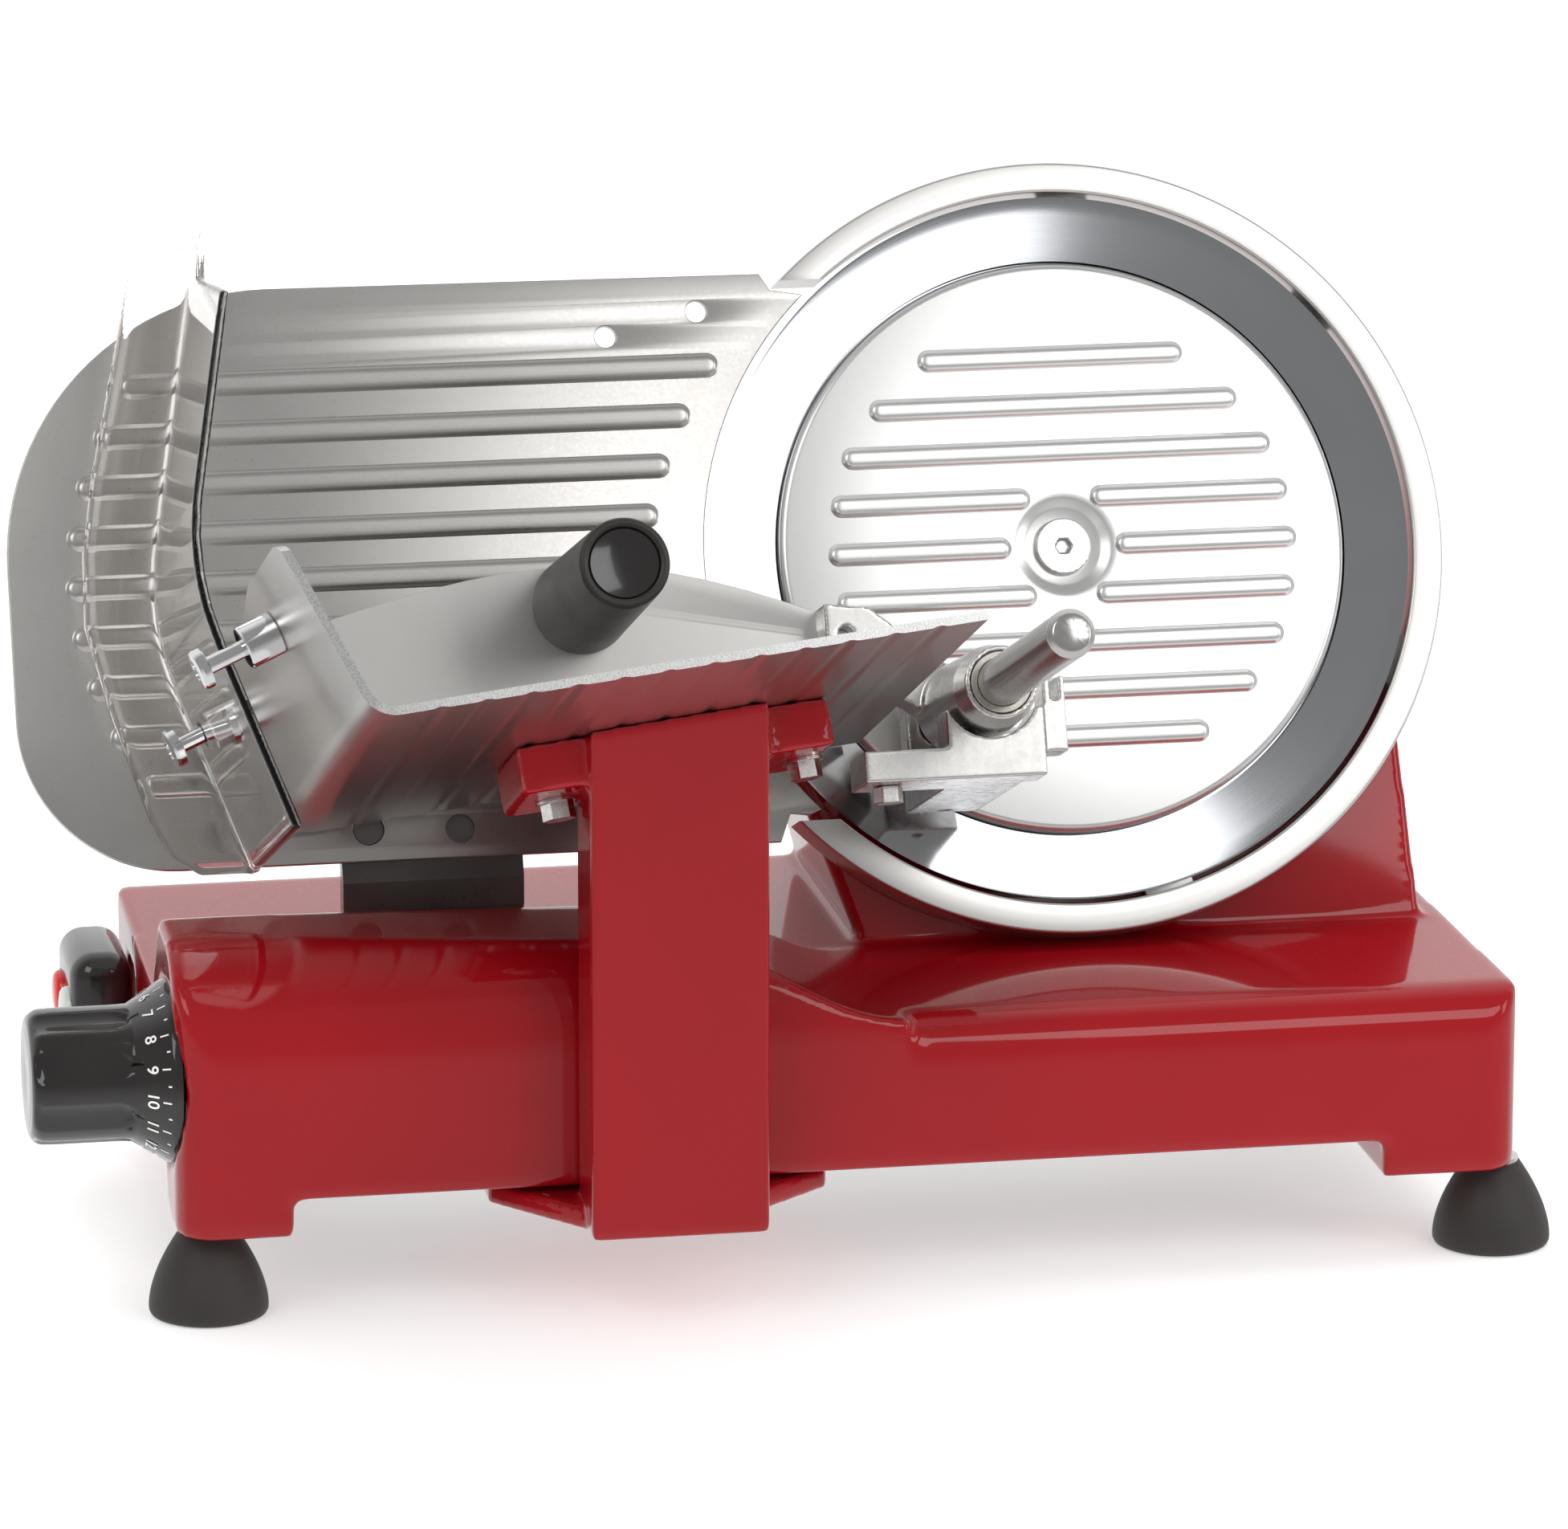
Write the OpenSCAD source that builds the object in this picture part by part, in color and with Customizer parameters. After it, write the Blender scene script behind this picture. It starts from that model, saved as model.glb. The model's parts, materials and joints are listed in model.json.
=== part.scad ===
// Gravity-feed meat slicer: red cast body, 250 mm blade, sliding tray with pusher and hand guard.
// Working frame before centring: X along the carriage stroke, Y = 0 at the body's front wall
// and growing away from the operator, Z up from the table.

/* [Blade] */
// Blade diameter over the cutting edge
blade_d = 250; // [246:1:251]
// Tilt of the blade plane back from vertical, degrees
blade_tilt = 21.5; // [20:0.5:23]
// Blade centre to the right of the body's middle
blade_x = 97.6; // [96:0.2:99]
// Blade centre behind the body's front wall
blade_y = 130; // [129:0.5:132]
// Blade centre above the table
blade_z = 230; // [228:0.5:233]
// Outer radius of the ring guard
ring_r = 137.3; // [136:0.1:139]
// Radius of the blade's cover disc
cover_r = 101.5; // [99:0.5:101.5]

/* [Body] */
// Width of the body at its front
body_w = 468; // [466:1:470]
// Width of the body at its rear
body_rear_w = 458; // [456:1:462]
// Depth of the body
body_d = 236; // [234:1:240]
// Height of the slab's top face
slab_z = 97; // [96:0.5:98]
// Height of the raised front left housing
ridge_z = 130; // [129:0.5:132]
// Height of the lower edge of the side walls
skirt_z = 44; // [43.5:0.5:45]
// Height of the underside of the corner pads
pad_z = 31.5; // [31:0.5:32]
// Wall thickness of the casting
wall = 4; // [3.5:0.5:4]

/* [Carriage] */
// Width of the carriage column
column_w = 61; // [58:1:62]
// Middle of the column along the stroke
column_x = -67.5; // [-69:0.5:-66]
// Front face of the column, ahead of the body
column_y = -33; // [-34:0.5:-32]
// Slope of the tray floor in the blade plane, degrees
tray_slope = 6.6; // [6:0.2:7]
// Extra rise of the tray floor towards the operator, degrees
tray_pitch = 2; // [1.5:0.5:2.5]
// Length of the tray floor along the stroke
tray_l = 203; // [200:1:204]
// Depth of the tray from its rear edge to its front edge
tray_w = 245; // [240:1:248]
// Lean of the tray's left wall, degrees
wall_lean = 17; // [16:1:18]
// Diameter of the guide rod
guide_d = 18; // [16:1:18]

/* [Pusher] */
// Diameter of the pusher's rod
rod_d = 16.5; // [16:0.5:17]
// Distance of the rod's end from the blade plane
rod_end = 250; // [245:1:255]
// Distance of the pusher plate from the blade plane
pusher_n = 48; // [46:1:50]
// Length of the pusher's handle
handle_l = 98; // [92:1:100]
// Diameter of the handle at its end
handle_d = 31; // [29:1:33]

/* [Thickness dial] */
// Height of the dial's axis
dial_z = 82; // [81:0.5:83]
// Distance of the dial's axis behind the front wall
dial_y = 38; // [37:0.5:39]
// Diameter of the dial's grip
dial_d = 47; // [44:1:48]
// Slice thickness that the dial is set to
dial_reading = 5.5; // [0:0.5:14]

/* [Hidden] */
$fn = 48;
fine = 96;
// Middle of the whole machine in the working frame, which becomes the origin
mid_x = -16;
mid_y = 53.5;
blade_r = blade_d / 2;
red = [0.62, 0.05, 0.07];
alloy = [0.72, 0.71, 0.69];
steel = [0.78, 0.78, 0.8];
black = [0.12, 0.1, 0.1];
// Distances along the blade's axis, measured from the plane of the cutting edge
ring_back = -16;
mount_n = -16;
pulley_n = -38;
bulkhead_n = -50;
motor_a = 10;
motor_b = -105;
motor_r = 36;
motor_n = -122;
spindle_r = 8.5;
pulley_r = 45;
small_pulley_r = 13;
// Guide rod, support bar and roller of the carriage
guide_y = 76;
guide_z = 56;
bar_z = 44.5;
bar_h = 7;
roller_r = 9;
foot_t = 8;
foot_z = 34.5;
// Feet, as [x, y] of the screws
foot_h = 30;
feet = [[-222, 23], [229, 21], [-174, 216], [174, 216]];
foot_r = 20.5;
// Tray origin in the blade frame: the rear end of its lower left edge
tray_a = -281;
tray_b = -90.5;
tray_n = 8;
sheet_t = 3;
bend_r = 12;
// Pusher rod's axis in the blade frame
rod_a = -52.5;
rod_b = -63.8;
boss_n = 57;
boss_l = 75;
handle_a = -181;
handle_b = -20.5;
// Hand guard: its bend line in the blade frame, its fixing points as distances from the tray's
// rear edge and up the tray's wall, and the length of its spacers
ridge_path = [[-297, -104], [-319, -42], [-322.5, -30], [-324.5, -18], [-325, -6], [-324, 6], [-303, 118]];
guard_points = [[-38, 41], [-160, 48]];
guard_gap = 12.5;
// Gauge plate and its guide
gauge_front = -3;
gauge_t = 3.5;
guide_pin_x = -132;
guide_pin_y = 111;
guide_pin_z = 73;
gauge_screw_points = [[-252, -88.4], [-220, -89.5]];
// Scroll cam: radius of the groove at reading zero, and degrees of dial per millimetre
cam_r0 = 12;
dial_rate = 25;
cam_x = -215;
cam_t = 8;
// Dial grip: radius and depth of its eight broad flutes
flute_r = 15;
flute_depth = 1.7;
// Buttons
switch_x = -254;
switch_y = 148;
switch_z = 48;
// The nearer button's place and the farther one's
button_y = [162, 184];

module machine() translate([-mid_x, -mid_y, 0]) children();

// x across the blade plane, y up the blade plane, z out of it towards the operator
module on_blade() machine() translate([blade_x, blade_y, blade_z]) rotate([90 - blade_tilt, 0, 0])
    children();

// x along the tray floor, y away from the operator, z up from the tray's underside
module on_tray() on_blade() translate([tray_a, tray_b, tray_n]) rotate([0, 0, tray_slope])
    rotate([-90 - tray_pitch, 0, 0]) children();

function arc(c, r, a0, a1, n) = [for (i = [0:n]) c + r * [cos(a0 + (a1 - a0) * i / n),
    sin(a0 + (a1 - a0) * i / n)]];

module along_x(x0, y, z, l, r) translate([x0, y, z]) rotate([0, 90, 0]) cylinder(h = l, r = r);

module along_y(x, y0, z, l, r) translate([x, y0, z]) rotate([-90, 0, 0]) cylinder(h = l, r = r);

module tube(h, r_out, r_in) difference() {
    cylinder(h = h, r = r_out);
    translate([0, 0, -1]) cylinder(h = h + 2, r = r_in);
}

// A profile drawn in Y and Z, extruded along X
module yz_prism(x0, l, points) translate([x0, 0, 0]) rotate([90, 0, 90]) linear_extrude(l)
    polygon(points);

// A profile drawn in X and Z, extruded along Y
module xz_prism(y0, l, points) translate([0, y0 + l, 0]) rotate([90, 0, 0]) linear_extrude(l)
    polygon(points);

/* ---- Body ---- */

// Plan of the body, pulled in by w on every side
module plan_prism(w, z0, z1) {
    f = body_w / 2 - w;
    b = body_rear_w / 2 - w;
    r = 14 - w;
    translate([0, 0, z0]) linear_extrude(z1 - z0) polygon(concat(
        arc([-f + r, w + r], r, 180, 270, 8), arc([f - r, w + r], r, 270, 360, 8),
        arc([b - r, body_d - w - r], r, 0, 90, 8), arc([-b + r, body_d - w - r], r, 90, 180, 8)));
}

module slab(w) {
    r = 15 - w;
    top = slab_z - w;
    back = body_d - w;
    yz_prism(-body_w / 2, body_w, concat([[w, skirt_z - 2 * w]], arc([w + r, top - r], r, 180, 90, 8),
        arc([back - r, top - r], r, 90, 0, 8), [[back, skirt_z - 2 * w]]));
}

// Raised housing over the front left of the slab: a round-fronted bank that falls away to the right
module ridge(w) {
    r = 38 - w;
    top = ridge_z - w;
    fall = 5.5;
    intersection() {
        yz_prism(-body_w / 2, body_w, concat([[w, skirt_z - 2 * w]], arc([w + r, top - r], r, 180, 90, 12),
            arc([56, top - 16], 16, 90, 20, 6), arc([96 - w, slab_z + 14 - w], 14, 200, 270, 6),
            [[96 - w, skirt_z - 2 * w]]));
        xz_prism(0, 110, concat([[-240, skirt_z - 2 * w], [-240, top]], [[-222, top]],
            [for (i = [0:14]) [-62 - w + i * 80 / 14,
                slab_z - w + (top - fall - slab_z + w) * (0.5 + 0.5 * cos(i * 180 / 14))]],
            [[18 - w, skirt_z - 2 * w]]));
    }
}

// Housing behind the blade: from the mounting disc down to the slab, hollow by w
module housing(w) hull() {
    on_blade() translate([0, 0, mount_n - 6]) cylinder(h = 6 - w, r = 117 - w, $fn = 64);
    on_blade() translate([0, 0, -64 + w]) cylinder(h = 6, r = 80 - w, $fn = 48);
    machine() translate([22 + w, 98 + w, slab_z - 9]) cube([200 - 2 * w, 131 - 2 * w, 8 - w]);
}

module pads() intersection() {
    plan_prism(0, pad_z, skirt_z + 4);
    union() {
        translate([-240, 0, pad_z]) cube([45.4, 46, 13]);
        translate([185, 0, pad_z]) cube([60, 46, 13]);
        translate([-240, body_d - 46, pad_z]) cube([90, 60, 13]);
        translate([150, body_d - 46, pad_z]) cube([90, 60, 13]);
    }
}

// Bosses inside the walls for the guide rod, the support bar, the gauge guide and the dial
module bosses() {
    for (s = [-1, 1]) {
        along_x(s > 0 ? 216 : -231, guide_y, guide_z, 15, 14);
        translate([s > 0 ? 219 : -231, 15, skirt_z]) cube([12, 20, 14]);
        for (y = [130, 220]) translate([s * 180, y, skirt_z]) cylinder(h = 52, r = 6);
    }
    along_x(-230.5, dial_y, dial_z, 8, 36);
    translate([guide_pin_x - 10, 72, 74]) cube([20, 11, 26]);
    translate([guide_pin_x - 10, 136, 50]) cube([20, 11, 46]);
}

module body_casting() color(red) {
    difference() {
        union() {
            difference() {
                machine() union() {
                    intersection() {
                        plan_prism(0, skirt_z, 150);
                        union() {
                            slab(0);
                            ridge(0);
                        }
                    }
                }
                machine() intersection() {
                    plan_prism(wall, skirt_z - 9, 150);
                    union() {
                        slab(wall);
                        ridge(wall);
                    }
                }
                housing(wall);
            }
            difference() {
                housing(0);
                housing(wall);
                machine() translate([26, 102, 60]) cube([192, 123, slab_z - 60 - wall]);
            }
            intersection() {
                housing(1);
                on_blade() translate([-140, -150, bulkhead_n]) cube([280, 290, 6]);
            }
            on_blade() translate([0, 0, bulkhead_n - 10]) cylinder(h = 16, r = 18);
            machine() pads();
            machine() intersection() {
                plan_prism(0, skirt_z, 150);
                bosses();
            }
        }
        on_blade() {
            translate([0, 0, mount_n - 10]) cylinder(h = 14, r = 58);
            translate([0, 0, bulkhead_n - 12]) cylinder(h = 24, r = spindle_r);
            translate([motor_a, motor_b, bulkhead_n - 2]) cylinder(h = 10, r = 12);
        }
        machine() {
            along_x(-226, guide_y, guide_z, 452, guide_d / 2);
            translate([-229.5, 20, bar_z]) cube([459, 10, bar_h]);
            translate([-166, 90, slab_z - 20]) cube([69, 26, 30]);
            along_x(-240, dial_y, dial_z, 10, 33);
            along_x(-232, dial_y, dial_z, 12, 9);
            for (p = feet) translate([p[0], p[1], pad_z - 1]) cylinder(h = 20, r = 4);
            translate([guide_pin_x, guide_pin_y, guide_pin_z]) rotate([90 - blade_tilt, 0, 0])
                translate([0, 0, -38]) cylinder(h = 76, r = 6);
            along_y(150, body_d - 10, 70, 20, 8);
            translate([-240, 158, 58]) cube([20, 30, 24]);
        }
    }
}

module bottom_plate() color(steel) machine() difference() {
    translate([-188, 122, skirt_z - 1.5]) cube([376, body_d - 122, 1.5]);
    for (s = [-1, 1]) translate([s > 0 ? 145 : -199, body_d - 50, skirt_z - 2]) cube([54, 60, 3]);
    for (x = [-60:12:60]) translate([x, 170, skirt_z - 2]) cube([5, 40, 3]);
}

module rubber_foot(p) color(black) machine() translate([p[0], p[1], 0]) difference() {
    rotate_extrude($fn = fine) polygon(concat([[0, 0], [foot_r - 1.5, 0], [foot_r, 2]],
        [for (i = [1:10]) [10 + (foot_r - 10) * cos(i * 9), 2 + (foot_h - 2) * sin(i * 9)]],
        [[0, foot_h]]));
    translate([0, 0, foot_h - 12]) cylinder(h = 20, r = 4);
}

module foot_front_left() rubber_foot(feet[0]);
module foot_front_right() rubber_foot(feet[1]);
module foot_rear_left() rubber_foot(feet[2]);
module foot_rear_right() rubber_foot(feet[3]);

// One screw with a washer for each foot
module foot_screws() color(steel) machine() for (p = feet) translate([p[0], p[1], 0]) {
    translate([0, 0, foot_h - 12]) cylinder(h = 25, r = 4);
    translate([0, 0, foot_h]) cylinder(h = pad_z - foot_h, r = 9);
}

module guide_rod() color(steel) machine() along_x(-226, guide_y, guide_z, 452, guide_d / 2);

module support_bar() color(steel) machine() translate([-229.5, 20, bar_z]) cube([459, 10, bar_h]);

/* ---- Blade ---- */

// Ring guard, open between two level cuts on the gauge plate's side
module ring_guard() color(alloy) on_blade() difference() {
    union() {
        rotate_extrude($fn = fine) polygon([[blade_r + 1.7, ring_back], [ring_r, ring_back],
            [ring_r, 0.5], [ring_r - 1, 1.5], [blade_r + 2.7, 1.5], [blade_r + 1.7, 0.5]]);
        for (q = [-75, -20, 40, 85]) rotate([0, 0, q]) translate([100, -9, ring_back]) cube([31, 18, 3.5]);
    }
    translate([-160, -93, -40]) cube([100, 191.5, 60]);
    for (q = [-75, -20, 40, 85]) rotate([0, 0, q]) translate([107, 0, ring_back - 1]) cylinder(h = 8, r = 2.6);
}

module ring_screws() color(steel) on_blade() for (q = [-75, -20, 40, 85]) rotate([0, 0, q])
    translate([107, 0, ring_back]) {
        cylinder(h = 3.5, r = 2.6);
        translate([0, 0, 3.5]) cylinder(h = 1.5, r = 4.5);
    }

module blade_spindle() color(steel) on_blade() difference() {
    translate([0, 0, bulkhead_n - 12]) cylinder(h = 12 - bulkhead_n - 3, r = spindle_r);
    translate([0, 0, -20]) cylinder(h = 30, r = 4);
}

// Two ball bearings, one at each end of the hub
module blade_bearings() color(steel) on_blade() for (z = [-20, pulley_n]) translate([0, 0, z])
    tube(10, 17.5, spindle_r + 0.05);

module blade() color(steel) on_blade() difference() {
    rotate_extrude($fn = fine) polygon([[20, -9.5], [108, -9.5], [blade_r - 0.6, -0.9], [blade_r, 0],
        [cover_r + 1, -2.6], [cover_r + 0.8, -6], [20, -6]]);
    for (q = [30:120:270]) rotate([0, 0, q]) translate([28, 0, -12]) cylinder(h = 10, r = 2.6);
}

module blade_pulley() color(alloy) on_blade() difference() {
    rotate_extrude($fn = fine) polygon([[17.5, pulley_n], [pulley_r + 2, pulley_n],
        [pulley_r + 2, pulley_n + 1.5], [pulley_r, pulley_n + 1.5], [pulley_r, -23.5],
        [pulley_r + 2, -23.5], [pulley_r + 2, -22], [26, -22], [34, -16], [34, -9.5], [17.5, -9.5]]);
    for (q = [30:120:270]) rotate([0, 0, q]) translate([28, 0, -30]) cylinder(h = 30, r = 2.6);
}

module blade_screws() color(steel) on_blade() for (q = [30:120:270]) rotate([0, 0, q])
    translate([28, 0, 0]) {
        translate([0, 0, -30]) cylinder(h = 24, r = 2.6);
        translate([0, 0, -6]) cylinder(h = 2, r = 4.5);
    }

// One pressed rib: a bar with round ends that stands out of a plate
module rib(a0, a1, b, w, n0, n1) translate([0, 0, n0]) linear_extrude(n1 - n0) union() {
    translate([a0 + w / 2, b - w / 2]) square([a1 - a0 - w, w]);
    translate([a0 + w / 2, b]) circle(d = w);
    translate([a1 - w / 2, b]) circle(d = w);
}

module blade_cover() color(alloy) on_blade() {
    rotate_extrude($fn = fine) polygon([[4, -3], [13, -3], [16, -1], [92, -1], [cover_r - 1.5, -4.5],
        [cover_r, -4.5], [cover_r, -1.5], [cover_r - 3, 1], [17, 1], [13, -1], [4, -1]]);
    for (s = [-1, 1]) {
        rib(-77, 77, s * 34, 7.3, 1, 2.4);
        rib(-66, 66, s * 50.6, 7.3, 1, 2.4);
        rib(-47.5, 47.5, s * 67.6, 7.3, 1, 2.4);
        for (m = [0, 1]) mirror([m, 0, 0]) rib(11, 82, s * 17.2, 7.3, 1, 2.4);
        mirror([s > 0 ? 1 : 0, 0, 0]) rib(19, 84, 0, 7.3, 1, 2.4);
    }
}

module cover_bolt() color(steel) on_blade() difference() {
    union() {
        translate([0, 0, -19]) cylinder(h = 19, r = 4);
        translate([0, 0, -1]) cylinder(h = 2.2, r = 10);
    }
    translate([0, 0, -0.8]) cylinder(h = 5, r = 2.9, $fn = 6);
}

/* ---- Drive ---- */

// Ribbed belt round the two pulleys
module belt_outline(grow) {
    r1 = pulley_r + grow;
    r2 = small_pulley_r + grow;
    d = [motor_a, motor_b];
    turn = atan2(d[1], d[0]);
    spread = acos((r1 - r2) / norm(d));
    polygon(concat(arc([0, 0], r1, turn + spread, turn + 360 - spread, 48),
        arc(d, r2, turn - spread, turn + spread, 24)));
}

module drive_belt() color(black) on_blade() translate([0, 0, -35.5]) linear_extrude(11) difference() {
    belt_outline(2.3);
    belt_outline(0.3);
}

module motor() color(alloy) on_blade() translate([motor_a, motor_b, 0]) difference() {
    union() {
        translate([0, 0, motor_n]) cylinder(h = bulkhead_n - motor_n, r = motor_r);
        for (q = [45:90:315]) rotate([0, 0, q]) translate([motor_r - 2, -5, bulkhead_n - 6]) cube([10, 10, 6]);
    }
    translate([0, 0, motor_n - 1]) cylinder(h = 90, r = 5.05);
    for (q = [45:90:315]) rotate([0, 0, q]) translate([40, 0, bulkhead_n - 9]) cylinder(h = 12, r = 2);
}

module motor_bolts() color(steel) on_blade() translate([motor_a, motor_b, 0])
    for (q = [45:90:315]) rotate([0, 0, q]) translate([40, 0, 0]) {
        translate([0, 0, bulkhead_n - 6]) cylinder(h = 6, r = 2);
        translate([0, 0, bulkhead_n - 9]) cylinder(h = 3, r = 3.6);
    }

module motor_shaft() color(steel) on_blade() translate([motor_a, motor_b, motor_n + 4])
    cylinder(h = -motor_n - 4 - 22, r = 5);

module motor_pulley() color(alloy) on_blade() translate([motor_a, motor_b, 0])
    rotate_extrude() polygon([[5, pulley_n], [small_pulley_r + 2, pulley_n],
        [small_pulley_r + 2, pulley_n + 1.5], [small_pulley_r, pulley_n + 1.5], [small_pulley_r, -23.5],
        [small_pulley_r + 2, -23.5], [small_pulley_r + 2, -22], [5, -22]]);

module capacitor() color("lightgray") machine() along_x(150, 180, skirt_z + 16, 56, 15.5);

/* ---- Switch ---- */

module switch_housing() color(black) machine() difference() {
    union() {
        translate([switch_x, switch_y, switch_z]) cube([-switch_x - 231.6, 50, 44]);
        translate([-232, 159, 59]) cube([14, 28, 22]);
    }
    for (y = button_y) {
        along_x(switch_x - 1, y, 70, 14, 8.3);
        along_x(switch_x + 12, y, 70, 14, 4.5);
    }
}

module push_button(y) machine() {
    along_x(switch_x - 3, y, 70, 11, 8);
    along_x(switch_x + 7, y, 70, 4, 2);
}

module stop_button() color([0.8, 0.05, 0.04]) push_button(button_y[1]);
module start_button() color([0.85, 0.9, 0.85]) push_button(button_y[0]);

// A coil spring behind each button
module button_springs() color(steel) machine() for (y = button_y)
    translate([switch_x + 14, y, 70]) rotate([0, 90, 0]) for (i = [0:3]) translate([0, 0, i * 2.6])
        rotate_extrude() translate([3.4, 0.8]) circle(r = 0.7, $fn = 16);

module cable_gland() color(black) machine() difference() {
    union() {
        along_y(150, body_d - 8, 70, 14, 8);
        along_y(150, body_d, 70, 5, 11);
        along_y(150, body_d - 8, 70, 4, 10.5);
    }
    along_y(150, body_d - 12, 70, 30, 4);
}

/* ---- Thickness gauge ---- */

// Outline of the gauge plate: round left corners, an arc that follows the blade, notched corners
module gauge_outline() {
    arc_r = blade_r + 2.6;
    difference() {
        polygon(concat(arc([-277, 8], 95, 180, 90, 16), [[-101.6, 101.9], [-98, 96], [-86.3, 94]],
            [[-60, 60], [-60, -60], [-90.5, -88], [-96, -90.5], [-103, -89.5], [-107, -99.5]],
            arc([-318, -45.5], 54, 270, 180, 12)));
        circle(r = arc_r, $fn = fine);
        translate([-157.7, 81.5]) circle(d = 7.6);
        translate([-124.9, 89.3]) circle(d = 7.6);
    }
}

module gauge_plate() color(alloy) on_blade() {
    difference() {
        translate([0, 0, gauge_front - gauge_t]) linear_extrude(gauge_t) gauge_outline();
        for (p = gauge_screw_points) translate([p[0], p[1], -10]) cylinder(h = 20, r = 5.5);
    }
    for (i = [-4:4]) rib(-352 + abs(i) * abs(i) * 1.4, -137 - 8 * cos(i * 24) + 1.1 * i * i, i * 17.5,
        6.5, gauge_front, gauge_front + 1.3);
}

// Carrier: pad behind the plate, web down through the slab, slide block and the follower's arm
module gauge_carrier() color([0.35, 0.34, 0.33]) {
    back = gauge_front - gauge_t;
    difference() {
        union() {
            on_blade() translate([-261.5, -97, back - 8]) cube([63.5, 42, 8]);
            machine() {
                translate([-164, 97, 80]) cube([63.5, 8, 66]);
                translate([guide_pin_x - 18, 96, 62]) cube([36, 30, 24]);
                translate([-203, 103, 70]) cube([60, 10, 12]);
                yz_prism(-203, 6, [[50, 70], [62, 70], [68, 72], [110, 72], [110, 82], [50, 82]]);
            }
        }
        machine() translate([-170, 96, 112]) cube([80, 2, 6]);
        machine() translate([guide_pin_x, guide_pin_y, guide_pin_z]) rotate([90 - blade_tilt, 0, 0])
            translate([0, 0, -40]) cylinder(h = 80, r = 6.05);
        on_blade() translate([-300, -120, back]) cube([140, 80, 40]);
        on_blade() for (p = gauge_screw_points) translate([p[0], p[1], -30]) cylinder(h = 40, r = 2.5);
    }
    machine() cam_pin();
}

// Follower pin in the cam's groove, on the line through the dial's axis along the gauge's travel
module cam_pin() {
    r = cam_r0 + dial_reading;
    along_x(cam_x + cam_t - 3, dial_y + r * cos(blade_tilt), dial_z - r * sin(blade_tilt), 7.5, 2.5);
}

module gauge_screws() color([0.3, 0.3, 0.3]) on_blade() for (p = gauge_screw_points)
    translate([p[0], p[1], 0]) {
        translate([0, 0, -14]) cylinder(h = 8, r = 2.5);
        translate([0, 0, gauge_front - gauge_t]) cylinder(h = 3, r = 5.4);
    }

module gauge_guide() color(steel) machine() translate([guide_pin_x, guide_pin_y, guide_pin_z])
    rotate([90 - blade_tilt, 0, 0]) translate([0, 0, -38]) cylinder(h = 76, r = 6);

/* ---- Dial ---- */

// Grip with eight flutes that opens into a conical skirt for the scale
module dial_knob() color(black) machine() translate([-281.5, dial_y, dial_z]) rotate([0, 90, 0])
    difference() {
        rotate_extrude($fn = fine) polygon(concat([[0, 0]], arc([16, 5.5], 5.5, 262, 190, 4),
            [[dial_d / 2 - 2, 3.2], [dial_d / 2, 6], [dial_d / 2, 34], [25, 38], [31.5, 47],
            [31.5, 50.5], [12, 50.5], [12, 44], [0, 44]]));
        for (q = [22.5:45:337.5]) rotate([0, 0, q])
            translate([dial_d / 2 + flute_r - flute_depth, 0, 4]) cylinder(h = 30, r = flute_r);
        translate([0, 0, 30]) cylinder(h = 40, r = 5);
    }

module dial_shaft() color(steel) machine() along_x(-251.5, dial_y, dial_z, 46, 5);

module dial_bush() color("goldenrod") machine() translate([-231.5, dial_y, dial_z]) rotate([0, 90, 0])
    tube(10, 9, 5.05);

// Radius of the groove at an angle: one millimetre of gauge for each dial_rate degrees of dial
function groove(t, side) = let (r = cam_r0 + t / dial_rate + side)
    [r * cos(t), r * sin(t)];

module dial_cam() color(alloy) machine() translate([cam_x, dial_y, dial_z]) rotate([0, 90, 0])
    difference() {
        tube(cam_t, 31.5, 5);
        rotate([0, 0, -dial_reading * dial_rate - blade_tilt + 90]) translate([0, 0, cam_t - 4])
            linear_extrude(6) union() {
                polygon(concat([for (i = [-2:72]) groove(i * 5, 2.85)],
                    [for (i = [72:-1:-2]) groove(i * 5, -2.85)]));
                translate(groove(-10, 0)) circle(r = 2.85);
                translate(groove(360, 0)) circle(r = 2.85);
            }
    }

/* ---- Carriage ---- */

// Column in front of the body, with flanges under the tray and a foot that reaches to the guide rod
module carriage_arm() color(red) {
    left = column_x - column_w / 2;
    right = column_x + column_w / 2;
    difference() {
        union() {
            machine() translate([left, column_y, foot_z]) cube([column_w, -2 - column_y, 200]);
            on_tray() translate([62.5, -128, -16]) cube([107, 54, 16]);
        }
        on_tray() translate([-60, -300, 0]) cube([400, 400, 80]);
        machine() translate([left + 7, column_y + 8, foot_z + 14]) cube([column_w - 14, 40, 120]);
        on_tray() for (x = [77, 162.5]) translate([x, -101, -30]) cylinder(h = 40, r = 3);
    }
    machine() difference() {
        union() {
            translate([0, 0, foot_z]) linear_extrude(foot_t) polygon([[left, column_y], [right, column_y],
                [right, -10], [-9, 14], [-9, 89], [-126, 89], [-126, 17], [left, -20]]);
            translate([-118, 62, foot_z]) cube([101, 27, 36]);
            translate([-80, 33, foot_z]) cube([26, 40, 34]);
        }
        along_x(-130, guide_y, guide_z, 130, 11.5);
        along_y(-67, 30, bar_z + bar_h + roller_r + 0.05, 30, 3);
    }
}

module carriage_bushes() color("goldenrod") machine() for (x = [-118, -37])
    translate([x, guide_y, guide_z]) rotate([0, 90, 0]) tube(20, 11.5, guide_d / 2 + 0.05);

module roller_pin() color(steel) machine() along_y(-67, 17.5, bar_z + bar_h + roller_r + 0.05, 34, 3);

module carriage_roller() color("white") machine() translate([-67, 20, bar_z + bar_h + roller_r + 0.05])
    rotate([-90, 0, 0]) tube(10, roller_r, 3.05);

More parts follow.
